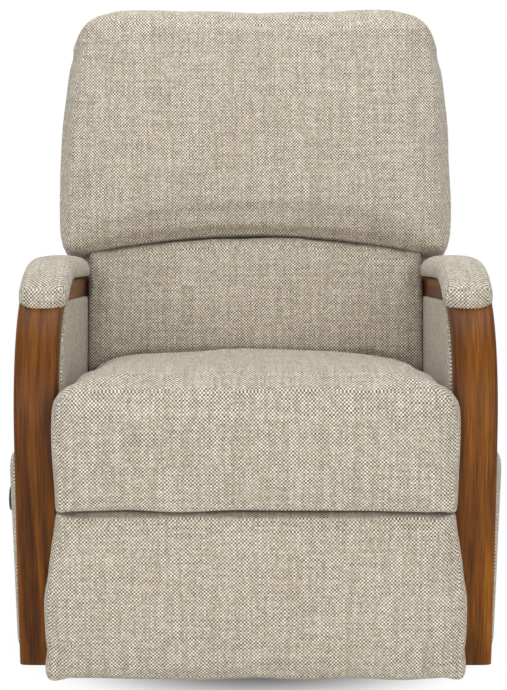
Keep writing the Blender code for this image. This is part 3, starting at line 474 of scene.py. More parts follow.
def rings(limits: Array, inset: Array, radii: tuple[float | Array, float | Array],
          drawn: Triple = (1.0, 1.0, 1.0), arc: int = 9, across: int = 40) -> Array:
    """Rectangles with round corners, one ring for each station.

    Each quarter circle is centre + radius * (cos t, sin t); the two long sides carry points between
    their corners, so that they can be arched afterwards.

    Args:
        limits: a row of low a, high a, low b, high b for each station.
        inset: how far each ring is drawn in.
        radii: the corner radii at low b and at high b, one for all stations or one for each.
        drawn: the share of the inset that both a sides, low b and high b take.
        arc: points in a corner.
        across: points on a long side.
    Returns:
        An array of stations by points by (a, b).
    """
    low_a, high_a = limits[:, 0] + inset * drawn[0], limits[:, 1] - inset * drawn[0]
    edges = (limits[:, 2] + inset * drawn[1], limits[:, 3] - inset * drawn[2])
    turn = np.linspace(0.0, math.pi / 2.0, arc)
    halves = []
    for b, radius, up in ((edges[1], radii[1], 1.0), (edges[0], radii[0], -1.0)):
        r = np.minimum(np.maximum(radius - inset, LEAST_RADIUS), 0.45 * (edges[1] - edges[0]))[:, None]
        right = np.stack([high_a[:, None] - r * (1.0 - np.cos(turn)),
                          b[:, None] - up * r * (1.0 - np.sin(turn))], axis=-1)
        left = right[:, ::-1] * np.array([-1.0, 1.0])
        left[..., 0] += (low_a + high_a)[:, None]
        part = np.linspace(0.0, 1.0, across + 2)[1:-1, None]
        middle = right[:, -1:] + (left[:, :1] - right[:, -1:]) * part
        halves.append(np.concatenate([right, middle, left], axis=1))
    return np.concatenate([halves[0], halves[1][:, ::-1]], axis=1)


def closed_loft(grid: Array) -> Mesh:
    """Join rows of rings into a closed surface, with a fan to the middle of the first and last ring.

    Args:
        grid: rows by points by (x, y, z).
    Returns:
        The vertices and the face index arrays.
    """
    rows, count = grid.shape[:2]
    ends = np.stack([grid[0].mean(axis=0), grid[-1].mean(axis=0)])
    points = np.concatenate([grid.reshape(-1, 3), ends])
    index = np.arange(rows * count).reshape(rows, count)
    after = np.roll(index, -1, axis=1)
    quads = np.stack([index[:-1], after[:-1], after[1:], index[1:]], axis=-1).reshape(-1, 4)
    first = np.stack([after[0], index[0], np.full(count, rows * count)], axis=-1)
    last = np.stack([index[-1], after[-1], np.full(count, rows * count + 1)], axis=-1)
    return points, [quads, first, last]


def normal_side(points: Array, faces: list[Array]) -> list[Array]:
    """Turn all faces round where the closed surface has a negative volume."""
    volume = 0.0
    for block in faces:
        corner = points[block]
        for k in range(1, block.shape[1] - 1):
            volume += np.einsum("ij,ij->", corner[:, 0], np.cross(corner[:, k], corner[:, k + 1]))
    return faces if volume > 0.0 else [block[:, ::-1] for block in faces]


def make_object(name: str, surface: Mesh) -> bpy.types.Object:
    """Put a closed surface into the scene as a smooth-shaded object.

    Args:
        name: the object's name.
        surface: vertices and face index arrays.
    Returns:
        The object.
    """
    points, faces = surface
    faces = normal_side(points, faces)
    mesh = bpy.data.meshes.new(name)
    mesh.from_pydata(points.tolist(), [], [row for block in faces for row in block.tolist()])
    mesh.shade_smooth()
    obj = bpy.data.objects.new(name, mesh)
    bpy.context.scene.collection.objects.link(obj)
    return obj


def read_points(mesh: bpy.types.Mesh) -> Array:
    """The mesh's vertices as an array."""
    flat = np.empty(len(mesh.vertices) * 3, dtype=np.float32)
    mesh.vertices.foreach_get("co", flat)
    return flat.reshape(-1, 3).astype(float)


def write_points(mesh: bpy.types.Mesh, points: Array) -> None:
    """Put an array back into the mesh's vertices."""
    mesh.vertices.foreach_set("co", points.astype(np.float32).ravel())
    mesh.update()


def relax(mesh: bpy.types.Mesh, points: Array, held: Array) -> Array:
    """Move every free point halfway to the mean of its neighbours.

    Args:
        mesh: gives the edges.
        points: the points to even out.
        held: marks of points that stay.
    Returns:
        The evened points.
    """
    edge = np.empty(len(mesh.edges) * 2, dtype=np.int32)
    mesh.edges.foreach_get("vertices", edge)
    one, two = edge.reshape(-1, 2).T
    number = np.bincount(edge, minlength=len(points)).astype(float)[:, None]
    total = np.zeros_like(points)
    np.add.at(total, one, points[two])
    np.add.at(total, two, points[one])
    moved = 0.5 * points + 0.5 * total / np.maximum(number, 1.0)
    return np.where(held[:, None], points, moved)


def cut_block(low: Triple, high: Triple) -> Mesh:
    """A square block between two corners."""
    spans = tuple(zip(low, high))
    corner = np.array([[x, y, z] for x in spans[0] for y in spans[1] for z in spans[2]])
    faces = np.array([[0, 1, 3, 2], [4, 6, 7, 5], [0, 4, 5, 1], [2, 3, 7, 6], [0, 2, 6, 4], [1, 5, 7, 3]])
    return corner, [faces]


def shaft_bore(ends: Pair, count: int = 20) -> Mesh:
    """The round bar along X that the lever's shaft needs as room, between two places."""
    turn = 2.0 * math.pi * np.arange(count) / count
    ring = np.stack([np.zeros(count), SHAFT_HOLE * np.cos(turn), SHAFT_HOLE * np.sin(turn)], axis=-1)
    return closed_loft(np.stack([np.array([x, *LEVER_SHAFT]) + ring for x in ends]))


def carve(obj: bpy.types.Object, cutter: Mesh, voxel: float = 0.0) -> None:
    """Take a block out of an object, then even its mesh with voxels where a size is given.

    Args:
        obj: the object to cut.
        cutter: the block; no points leave the object whole.
        voxel: the voxel size in metres, or 0.
    """
    block = None
    if len(cutter[0]):
        block = make_object(obj.name + "_cutter", cutter)
        cut = obj.modifiers.new("cut", "BOOLEAN")
        cut.operation = "DIFFERENCE"
        cut.solver = "EXACT"
        cut.object = block
    if voxel > 0.0:
        grid = obj.modifiers.new("voxels", "REMESH")
        grid.mode = "VOXEL"
        grid.voxel_size = voxel
    depsgraph = bpy.context.evaluated_depsgraph_get()
    mesh = bpy.data.meshes.new_from_object(obj.evaluated_get(depsgraph))
    old = obj.data
    obj.modifiers.clear()
    obj.data = mesh
    bpy.data.meshes.remove(old)
    mesh.name = obj.name
    mesh.shade_smooth()
    if block is not None:
        bpy.data.objects.remove(block, do_unlink=True)


def dress(obj: bpy.types.Object, finishes: Finishes, slot: Slot, body: str, node: str) -> bpy.types.Object:
    """Give a piece the material of its slot, tie it to its body, and hide the node that it stands for.

    Args:
        obj: the piece.
        finishes: the chair's materials.
        slot: the slot of its material.
        body: the body that it rides on.
        node: the node that it stands for.
    Returns:
        The piece.
    """
    obj.data.materials.clear()
    obj.data.materials.append(finishes.made[slot])
    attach(obj, body)
    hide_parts(node)
    LOG.info("%s: %d points", obj.name, len(obj.data.vertices))
    return obj


def dress_soft(obj: bpy.types.Object, finishes: Finishes, body: str, node: str) -> bpy.types.Object:
    """Dress a padded piece in the cloth.

    Args:
        obj: the piece.
        finishes: the chair's materials.
        body: the body that it rides on.
        node: the node that it stands for.
    Returns:
        The piece.
    """
    dress(obj, finishes, Slot.UPHOLSTERY, body, node)
    return obj


NOTHING: Mesh = (np.zeros((0, 3)), [])

# The hand-made unevenness: a share, then axis, wavelength in metres and phase of two waves.
WAVES = ((1.0, (0, 0.31, 0.7), (2, 0.23, 1.9)), (1.0, (1, 0.19, 0.4), (0, 0.17, 2.3)),
         (0.6, (2, 0.11, 0.9), (0, 0.13, 1.1)))


@dataclass
class BackFrame:
    """The leaning frame of the back: its hinge and how far it leans from upright."""

    hinge: Pair = (0.165, 0.332)
    rake_deg: float = 14.0

    def to_chair(self, points: Array) -> Array:
        """Turn points drawn upright about the hinge into the chair's own frame."""
        c, s = math.cos(math.radians(self.rake_deg)), math.sin(math.radians(self.rake_deg))
        x, y, z = points.T
        return np.stack([x, self.hinge[0] + y * c + z * s, self.hinge[1] - y * s + z * c], axis=-1)

    def from_chair(self, points: Array) -> Array:
        """The way back."""
        c, s = math.cos(math.radians(self.rake_deg)), math.sin(math.radians(self.rake_deg))
        x, y, z = points[:, 0], points[:, 1] - self.hinge[0], points[:, 2] - self.hinge[1]
        return np.stack([x, y * c - z * s, y * s + z * c], axis=-1)


BACK = BackFrame()


@dataclass
class PaddedPiece:
    """A stuffed piece: a start form a little small, blown up as cloth under pressure, then sewn."""

    name: str = ""
    node: str = ""
    body: str = ""
    fill: float = 0.6
    voxel: float = 0.006
    pressure: float = 2.0
    frames: int = 20
    quality: int = 4
    cap: float = 0.007
    unevenness: float = 0.0011
    over: tuple[Pair, Pair, Pair] = ((0.0, 0.0), (0.0, 0.0), (0.0, 0.0))

    def form(self) -> Mesh:
        """The start form; each piece gives its own."""
        raise NotImplementedError

    def recess(self) -> Mesh:
        """What is taken out of the start form before it swells."""
        return NOTHING

    def held(self, points: Array) -> Array:
        """Marks of the points that lie against something and don't swell."""
        return np.zeros(len(points), dtype=bool)

    def sew(self, points: Array, normals: Array) -> Array:
        """Draw in seams and pleats after the swelling."""
        return points

    def settle(self, points: Array) -> Array:
        """Keep the piece inside its own room."""
        return points

    def local(self, points: Array) -> Array:
        """The piece's own upright frame."""
        return points

    def world(self, points: Array) -> Array:
        """The chair's frame again."""
        return points

    def fit(self, points: Array) -> Array:
        """Stretch the swollen piece evenly along each axis so that it spans the room of its node."""
        room = self.local(read_points(frame["nodes"][self.node].data))
        mine = self.local(points)
        low, high = mine.min(axis=0), mine.max(axis=0)
        part = (mine - low) / (high - low)
        more = np.array(self.over)
        floor, roof = room.min(axis=0) - more[:, 0], room.max(axis=0) + more[:, 1]
        return self.world(floor + part * (roof - floor))

    def swell(self, obj: bpy.types.Object) -> Array:
        """Run the cloth from frame 1 on under inner pressure, and cap how far each point moved.

        Args:
            obj: the evened start form.
        Returns:
            The swollen points.
        """
        start = read_points(obj.data)
        held = self.held(start)
        group = obj.vertex_groups.new(name="held")
        group.add(np.flatnonzero(held).tolist(), 1.0, "REPLACE")
        cloth = obj.modifiers.new("stuffing", "CLOTH")
        cloth.settings.use_pressure = True
        cloth.settings.uniform_pressure_force = self.pressure
        cloth.settings.effector_weights.gravity = 0.0
        cloth.settings.quality = self.quality
        if held.any():
            cloth.settings.vertex_group_mass = "held"
        cloth.point_cache.frame_start = 1
        cloth.point_cache.frame_end = self.frames
        scene = bpy.context.scene
        for step in range(1, self.frames + 1):
            scene.frame_set(step)
        puffed = obj.evaluated_get(bpy.context.evaluated_depsgraph_get())
        moved = read_points(puffed.data) - start
        scene.frame_set(1)
        obj.modifiers.remove(cloth)
        obj.vertex_groups.remove(group)
        length = np.linalg.norm(moved, axis=1, keepdims=True)
        return start + moved * np.minimum(1.0, self.cap / np.maximum(length, 1e-9))

    def hand_made(self, points: Array, normals: Array, held: Array) -> Array:
        """A slight unevenness along each point's normal: three products of two slow sine waves."""
        turn = points.T * 2.0 * math.pi
        wave = np.zeros(len(points))
        for share, (a, long_a, phase_a), (b, long_b, phase_b) in WAVES:
            wave += share * np.sin(turn[a] / long_a + phase_a) * np.sin(turn[b] / long_b + phase_b)
        return points + normals * (self.unevenness * wave * ~held)[:, None]

    def build(self, finishes: Finishes) -> bpy.types.Object:
        """Make the piece and tie it to the part.

        Args:
            finishes: the chair's materials.
        Returns:
            The finished object.
        """
        obj = make_object(self.name, self.form())
        carve(obj, self.recess(), self.voxel)
        mesh = obj.data
        start = read_points(mesh)
        write_points(mesh, relax(mesh, start, self.held(start)))
        held = self.held(read_points(mesh))
        points = self.swell(obj)
        write_points(mesh, relax(mesh, points, held))
        points = self.hand_made(read_points(mesh), self.normals(mesh), held)
        write_points(mesh, self.settle(self.sew(self.fit(points), self.normals(mesh))))
        finer = obj.modifiers.new("finer", "SUBSURF")
        finer.levels = 1
        finer.render_levels = 1
        return dress_soft(obj, finishes, self.body, self.node)

    def normals(self, mesh: bpy.types.Mesh) -> Array:
        """The mesh's vertex normals as an array."""
        flat = np.empty(len(mesh.vertices) * 3, dtype=np.float32)
        mesh.vertices.foreach_get("normal", flat)
        return flat.reshape(-1, 3).astype(float)


@dataclass
class LeaningPiece(PaddedPiece):
    """A stuffed piece of the back, drawn upright about the hinge."""

    def local(self, points: Array) -> Array:
        """Upright about the hinge."""
        return BACK.from_chair(points)

    def world(self, points: Array) -> Array:
        """Leaned back."""
        return BACK.to_chair(points)


@dataclass
class SeatCushion(PaddedPiece):
    """The seat: a deep round nose in front of the posts, a low crown, drawn in at its sides."""

    name: str = "seat_padding"
    node: str = "seat_cushion"
    body: str = "seat"
    fill: float = 0.75
    front: float = -0.450
    rear: float = 0.070
    half: float = 0.284
    ear_half: float = 0.301
    ear_rear: float = -0.402
    lip: float = 0.317
    deck: float = 0.3525
    step: float = -0.364
    step_run: float = 0.018
    lip_end: float = 0.016
    crown: float = 0.520
    rear_top: float = 0.487
    lift_front: float = 0.005
    lift_rear: float = 0.026
    shoulder: float = 0.026
    corner: float = 0.046
    rounds: Pair = (0.036, 0.006)
    under_radius: float = 0.006
    drawn: Triple = (0.45, 0.08, 1.0)
    small: float = 0.004
    press: float = 0.020
    side_room: Pair = (0.0022, 0.003)
    held_room: float = 0.004
    post_front: float = -0.4015
    over: tuple[Pair, Pair, Pair] = ((0.0, 0.0), (0.0, 0.0), (0.0034, 0.0))

    def lift(self, y: Array) -> Array:
        """How far the middle of the top stands above its sides: more towards the rear."""
        return self.lift_front + (self.lift_rear - self.lift_front) * ease(y, self.step, self.rear)

    def limits(self, y: Array) -> Array:
        """Low and high limits across and upwards at each place from front to back."""
        ear = 1.0 - ease(y, self.ear_rear - 0.006, self.ear_rear + 0.002)
        wide = self.half + (self.ear_half - self.half) * ear
        low = self.lip + (self.deck - self.lip) * ease(y, self.step - self.step_run, self.step)
        top = self.crown + (self.rear_top - self.crown) * ease(y, self.step, self.rear)
        return np.stack([-wide, wide, low, top - self.lift(y)], axis=-1)

    def form(self) -> Mesh:
        """Round-cornered rings from front to back, then the middle of the top lifted as 1 - (x/half)^2."""
        low, high = self.front + self.small, self.rear - 0.002
        y = stations(low, high, 90)
        limits = self.limits(y) + np.array([self.small, -self.small, 0.0, -self.small])
        behind = ease(y, self.ear_rear - 0.020, self.ear_rear + 0.030)
        shoulder = self.corner + (self.shoulder - self.corner) * behind
        ring = rings(limits, end_inset(y, low, high, self.rounds), (self.under_radius, shoulder), self.drawn)
        x, z = ring[..., 0], ring[..., 1]
        raised = np.clip(1.0 - (x / self.half) ** 2, 0.0, 1.0) * ease(z, 0.38, self.rear_top - self.lift_rear)
        z = z + self.lift(y)[:, None] * raised
        return closed_loft(np.stack([x, np.broadcast_to(y[:, None], x.shape), z], axis=-1))

    def held(self, points: Array) -> Array:
        """The underside, where it lies on the rails."""
        low = points[:, 2] < self.deck + self.held_room
        return low & (points[:, 1] > self.step - self.held_room)

    def settle(self, points: Array) -> Array:
        """Stay between the arms, or in front of the posts, above the rails, and lie flat on the footrest."""
        x, y, z = points.T.copy()
        limit = self.limits(y)
        side = np.where(y > self.post_front, self.half + self.side_room[0], self.ear_half + self.side_room[1])
        lip = y < self.step - self.lip_end
        low = limit[:, 2] - self.over[2][0] * lip
        z = np.where(lip, low + pressed(z - low, self.press), np.maximum(z, low))
        return np.stack([np.clip(x, -side, side), y, z], axis=-1)


@dataclass
class HeadPillow(LeaningPiece):
    """The upper back: wide wings over the arms, an arched lower edge and cut-off upper corners."""

    name: str = "pillow_padding"
    node: str = "head_pillow"
    body: str = "back"
    fill: float = 0.7
    low: float = 0.322
    top: float = 0.722
    arch: float = 0.044
    half_low: float = 0.340
    taper: float = 0.018
    corner: Pair = (0.084, 0.050)
    pinch: Triple = (0.004, 0.86, 0.05)
    front: float = -0.136
    front_lean: float = 0.020
    rear: float = 0.045
    rounds: Pair = (0.012, 0.020)
    radii: Pair = (0.038, 0.003)
    drawn: Triple = (1.0, 1.0, 0.1)
    post_out: float = 0.229
    frame_top: float = 0.684
    small: float = 0.004
    pleat_at: Pair = (0.214, 0.304)
    pleat_run: Pair = (0.016, 0.040)
    pleat_half: float = 0.007
    pleat_depth: float = 0.0050
    over: tuple[Pair, Pair, Pair] = ((0.003, 0.003), (0.0, 0.0), (0.0, 0.005))

    def part(self, z: Array) -> Array:
        """How far up the pillow a height is, 0 to 1."""
        return (z - self.low) / (self.top - self.low)

    def wide(self, z: Array) -> Array:
        """The half width: full in the lower third, then drawn in by the taper."""
        return self.half_low - self.taper * ease(self.part(z), 0.30, 1.0)

    def corner_fall(self, x: Array, z: Array) -> Array:
        """How far the upper corners fall: a quarter ellipse, 1 - sqrt(1 - t^2), at each end."""
        run, drop = self.corner
        out = np.clip((np.abs(x) - self.half_low + self.taper) / run + 1.0, 0.0, 1.0)
        return drop * (1.0 - np.sqrt(1.0 - out ** 2)) * ease(self.part(z), 0.60, 1.0)

    def form(self) -> Mesh:
        """Round-cornered rings from the lower edge up, pinched below the upper corners, then arched."""
        low, high = self.low + 0.003, self.top - 0.004
        z = stations(low, high, 90)
        part = self.part(z)
        depth, place, spread = self.pinch
        wide = self.wide(z) - depth * np.exp(-((part - place) / spread) ** 2) - self.small
        front = self.front + self.front_lean * part ** 2 + self.small
        limits = np.stack([-wide, wide, front, np.full_like(z, self.rear)], axis=-1)
        ring = rings(limits, end_inset(z, low, high, self.rounds), self.radii, self.drawn)
        x, y = ring[..., 0], ring[..., 1]
        z = np.broadcast_to(z[:, None], x.shape)
        fall = self.arch * (x / self.half_low) ** 2 * np.clip(1.0 - 1.6 * self.part(z), 0.0, 1.0)
        z = z - fall - self.corner_fall(x, z)
        surface = closed_loft(np.stack([x, y, z], axis=-1))
        return BACK.to_chair(surface[0]), surface[1]

    def recess(self) -> Mesh:
        """The room of the wooden back frame."""
        reach = self.post_out + 0.006
        block = cut_block((-reach, -0.0015, 0.10), (reach, self.rear + 0.05, self.frame_top + 0.004))
        return BACK.to_chair(block[0]), block[1]

    def held(self, points: Array) -> Array:
        """The rear face and the walls of the recess."""
        x, y, z = BACK.from_chair(points).T
        inside = (np.abs(x) < self.post_out + 0.011) & (y > -0.008) & (z < self.frame_top + 0.010)
        return inside | (y > self.rear - 0.006)

    def sew(self, points: Array, normals: Array) -> Array:
        """Draw in one short pleat near the lower right corner, a groove of bell-shaped section."""
        x, y, z = BACK.from_chair(points).T
        run = (z - self.pleat_at[1]) / self.pleat_run[1]
        across = (x - (self.pleat_at[0] - self.pleat_run[0] * run)) / self.pleat_half
        dip = self.pleat_depth * np.exp(-across ** 2) * np.exp(-(run - 0.1) ** 2 * 1.6) * (y < -0.03)
        return points - normals * dip[:, None]

    def settle(self, points: Array) -> Array:
        """Stay above the lumbar cushion and in front of the outer back."""
        x, y, z = BACK.from_chair(points).T
        side = np.abs(x) / self.half_low
        floor = self.low - self.arch * side ** 2 - 0.0015
        inside = (np.abs(x) < self.post_out + 0.002) & (z < self.frame_top + 0.002)
        y = np.where(inside, np.minimum(y, -0.001), np.minimum(y, self.rear))
        return BACK.to_chair(np.stack([x, y, np.maximum(z, floor)], axis=-1))


@dataclass
class LumbarCushion(LeaningPiece):
    """The lower back between the arms, tucked under the pillow and drawn round the frame's posts."""

    name: str = "lumbar_padding"
    node: str = "lumbar_cushion"
    body: str = "back"
    low: float = 0.072
    top: float = 0.318
    arch: float = 0.044
    arch_half: float = 0.340
    half: float = 0.2875
    front: float = -0.112
    bulge: float = 0.008
    rear: float = -0.0008
    rounds: Pair = (0.010, 0.006)
    radii: Pair = (0.008, 0.004)
    drawn: Triple = (0.4, 1.0, 0.3)
    small: float = 0.003
    side_room: float = 0.0009
    post_out: float = 0.229
    wrap: float = 0.0440
    wrap_low: Pair = (0.15, 0.18)
    over: tuple[Pair, Pair, Pair] = ((0.011, 0.011), (0.0, 0.0440), (0.0, 0.0035))

    def form(self) -> Mesh:
        """Round-cornered rings from the bottom up, bulged by a half sine, sheared under the arch."""
        low, high = self.low + 0.004, self.top - 0.003
        z = stations(low, high, 56)
        part = (z - low) / (high - low)
        front = self.front - self.bulge * np.sin(math.pi * part) + self.small
        wide = np.full_like(z, self.half - self.small)
        limits = np.stack([-wide, wide, front, np.full_like(z, self.rear)], axis=-1)
        ring = rings(limits, end_inset(z, low, high, self.rounds), self.radii, self.drawn)
        x, y = ring[..., 0], ring[..., 1]
        past_post = ease(np.abs(x), self.post_out + 0.003, self.post_out + 0.018)
        round_post = past_post * ease(z, *self.wrap_low)[:, None]
        y = np.where(y > -0.02, y + self.wrap * round_post, y)
        z = z[:, None] - self.arch * (x / self.arch_half) ** 2 * part[:, None]
        surface = closed_loft(np.stack([x, y, z], axis=-1))
        return BACK.to_chair(surface[0]), surface[1]

    def held(self, points: Array) -> Array:
        """The rear face, against the wooden frame."""
        return BACK.from_chair(points)[:, 1] > -0.006

    def settle(self, points: Array) -> Array:
        """Lie flat against the side panels, under the pillow and in front of the frame."""
        x, y, z = BACK.from_chair(points).T
        roof = self.top + self.over[2][1] - self.arch * (x / self.arch_half) ** 2
        side = self.half + self.side_room
        rear = np.where(np.abs(x) > self.post_out + 0.002, self.wrap, -0.0006)
        local = np.stack([np.clip(x, -side, side), np.minimum(y, rear), np.minimum(z, roof)], axis=-1)
        return BACK.to_chair(local)


@dataclass
class FootrestPad(PaddedPiece):
    """The footrest panel, wider towards the floor, with soft wavering edges."""

    name: str = "footrest_padding"
    node: str = "footrest_pad"
    body: str = "footrest"
    fill: float = 0.55
    low: float = 0.057
    top: float = 0.310
    front: float = -0.450
    rear: float = -0.4015
    half_low: float = 0.315
    half_top: float = 0.296
    gathers: tuple[Triple, Triple] = ((0.0045, 0.19, 0.05), (0.003, 0.62, 0.08))
    rounds: Pair = (0.014, 0.004)
    radii: Pair = (0.015, 0.004)
    drawn: Triple = (1.0, 1.0, 0.5)
    small: float = 0.004
    press: float = 0.020
    over: tuple[Pair, Pair, Pair] = ((0.0, 0.0), (0.0, 0.0), (0.003, 0.0028))

    def form(self) -> Mesh:
        """Round-cornered rings from the floor edge up; the half width has two small gathers."""
        low, high = self.low + 0.004, self.top - 0.003
        z = stations(low, high, 64)
        part = (z - self.low) / (self.top - self.low)
        wide = self.half_low + (self.half_top - self.half_low) * ease(part, 0.45, 1.0) - self.small
        for depth, place, spread in self.gathers:
            wide = wide - depth * np.exp(-((part - place) / spread) ** 2)
        limits = np.stack([-wide, wide, np.full_like(z, self.front + self.small + 0.004),
                           np.full_like(z, self.rear)], axis=-1)
        ring = rings(limits, end_inset(z, low, high, self.rounds), self.radii, self.drawn)
        x, y = ring[..., 0], ring[..., 1]
        return closed_loft(np.stack([x, y, np.broadcast_to(z[:, None], x.shape)], axis=-1))

    def held(self, points: Array) -> Array:
        """The rear face, against the board."""
        return points[:, 1] > self.rear - 0.005

    def settle(self, points: Array) -> Array:
        """Stay in front of the board and lie flat below the seat."""
        x, y, z = points.T
        roof = self.top + self.over[2][1]
        return np.stack([x, np.minimum(y, self.rear), roof - pressed(roof - z, self.press)], axis=-1)


@dataclass
class ArmLine:
    """The centre line of the bent arm in the plane of Y and Z, as in the part."""

    foot: Pair = (-0.357, 0.067)
    bow: Pair = (-0.380, 0.430)
    rail: Pair = (-0.190, 0.614)
    end_y: float = 0.215
    slope: float = 0.112
    rise: float = 0.115
    run: float = 0.110
    inner: float = 0.293
    outer: float = 0.358
    thick: float = 0.036

    def points(self, post: int = 60, bend: int = 90, straight: int = 60) -> Array:
        """A parabola up the post, a cubic through the bend and a straight sloping rail.

        Args:
            post: points up the post.
            bend: points round the bend.
            straight: points along the rail.
        Returns:
            An array of (y, z).
        """
        z = np.linspace(self.foot[1], self.bow[1], post, endpoint=False)
        part = (self.bow[1] - z) / (self.bow[1] - self.foot[1])
        lower = np.stack([self.bow[0] + (self.foot[0] - self.bow[0]) * part ** 2, z], axis=-1)
        reach = math.hypot(1.0, self.slope)
        above = (self.bow[0], self.bow[1] + self.rise)
        before = (self.rail[0] - self.run / reach, self.rail[1] + self.run * self.slope / reach)
        knot = np.array([self.bow, above, before, self.rail])
        t = np.linspace(0.0, 1.0, bend, endpoint=False)[:, None]
        s = 1.0 - t
        turn = knot[0] * s ** 3 + knot[1] * 3 * s * s * t + knot[2] * 3 * s * t * t + knot[3] * t ** 3
        y = np.linspace(self.rail[0], self.end_y, straight)
        upper = np.stack([y, self.rail[1] - (y - self.rail[0]) * self.slope], axis=-1)
        return np.concatenate([lower, turn, upper])

    @staticmethod
    def outward(path: Array) -> Array:
        """Unit directions square to the path, towards the outside of the bend."""
        along = np.gradient(path, axis=0)
        along = along / np.linalg.norm(along, axis=1, keepdims=True)
        return np.stack([-along[:, 1], along[:, 0]], axis=-1)

    @staticmethod
    def lengths(path: Array) -> Array:
        """Distance along the path at each point."""
        step = np.linalg.norm(np.diff(path, axis=0), axis=1)
        return np.concatenate([[0.0], np.cumsum(step)])

    def along(self, path: Array, spots: Array) -> Array:
        """The points that lie at the given distances along the path."""
        length = self.lengths(path)
        return np.stack([np.interp(spots, length, path[:, 0]), np.interp(spots, length, path[:, 1])], axis=-1)


ARM = ArmLine()


@dataclass
class ArmPad(PaddedPiece):
    """The pad on one arm: a fat dome along the rail with a round lip over the bend."""

    side: Side = Side.LEFT
    body: str = "chassis"
    fill: float = 0.8
    voxel: float = 0.0045
    pressure: float = 4.0
    cap: float = 0.006
    unevenness: float = 0.0004
    thick: float = 0.031
    overhang: float = 0.0022
    start_z: float = 0.587
    end_y: float = 0.130
    lip: float = 0.024
    tail: float = 0.024
    ends: Pair = (0.24, 0.80)
    least_full: float = 0.26
    wood_gap: float = 0.0006
    held_room: float = 0.0035
    powers: Pair = (0.60, 0.66)
    small: Pair = (0.0015, 0.002)
    inward: float = 0.008
    inward_end: Pair = (0.060, 0.095)

    def __post_init__(self) -> None:
        """Let the pad stand past its node on the seat's side."""
        past = (0.0, self.inward) if self.side is Side.LEFT else (self.inward, 0.0)
        self.over = (past, (0.0, 0.0), (0.0, 0.0))

    def path(self) -> Array:
        """The stretch of the arm's centre line that the pad covers, closer spaced near its ends."""
        line = ARM.points()
        line = line[(line[:, 1] > self.start_z) & (line[:, 0] < self.end_y)]
        return ARM.along(line, stations(0.0, ARM.lengths(line)[-1], 110))

    def half_width(self, length: Array) -> tuple[Array, Array]:
        """How wide and how full the pad is, each falling off as a quarter ellipse at both ends.

        Args:
            length: distance along the pad.
        Returns:
            The half width and the fullness.
        """
        left = np.clip(np.minimum(length / self.lip, (length[-1] - length) / self.tail), 0.0, 1.0)
        swell = np.sqrt(1.0 - (1.0 - left) ** 2)
        least = np.where(length < length[-1] / 2.0, *self.ends)
        half = (ARM.outer - ARM.inner) / 2.0 + self.overhang
        return half * (least + (1.0 - least) * swell), self.least_full + (1.0 - self.least_full) * swell

    def form(self) -> Mesh:
        """A half super-ellipse carried along the arm, closed flat below."""
        path = self.path()
        out = ARM.outward(path)
        wide, full = self.half_width(ARM.lengths(path))
        turn = np.linspace(0.0, math.pi, 44)
        across = signed_power(np.cos(turn), self.powers[0])[None, :] * (wide[:, None] - self.small[0])
        more = self.inward * (1.0 - ease(path[:, 0], *self.inward_end)) / wide
        across = np.where(across * self.side.value < 0.0, across * (1.0 + more[:, None]), across)
        lift = np.abs(np.sin(turn))[None, :] ** self.powers[1] * full[:, None] * (self.thick - self.small[1])
        lift = lift + ARM.thick / 2.0 + self.wood_gap
        middle = self.side.value * (ARM.inner + ARM.outer) / 2.0
        y = path[:, 0:1] + out[:, 0:1] * lift
        z = path[:, 1:2] + out[:, 1:2] * lift
        return closed_loft(np.stack([middle + across, y, z], axis=-1))

    def held(self, points: Array) -> Array:
        """The flat underside on the wood."""
        return self.height(points) < ARM.thick / 2.0 + self.held_room

    def height(self, points: Array) -> Array:
        """Distance of each point from the arm's centre line, on its outer side."""
        path = self.path()
        out = ARM.outward(path)
        spot = points[:, 1:3]
        near = np.argmin(((spot[:, None, :] - path[None]) ** 2).sum(axis=-1), axis=1)
        return ((spot - path[near]) * out[near]).sum(axis=-1)


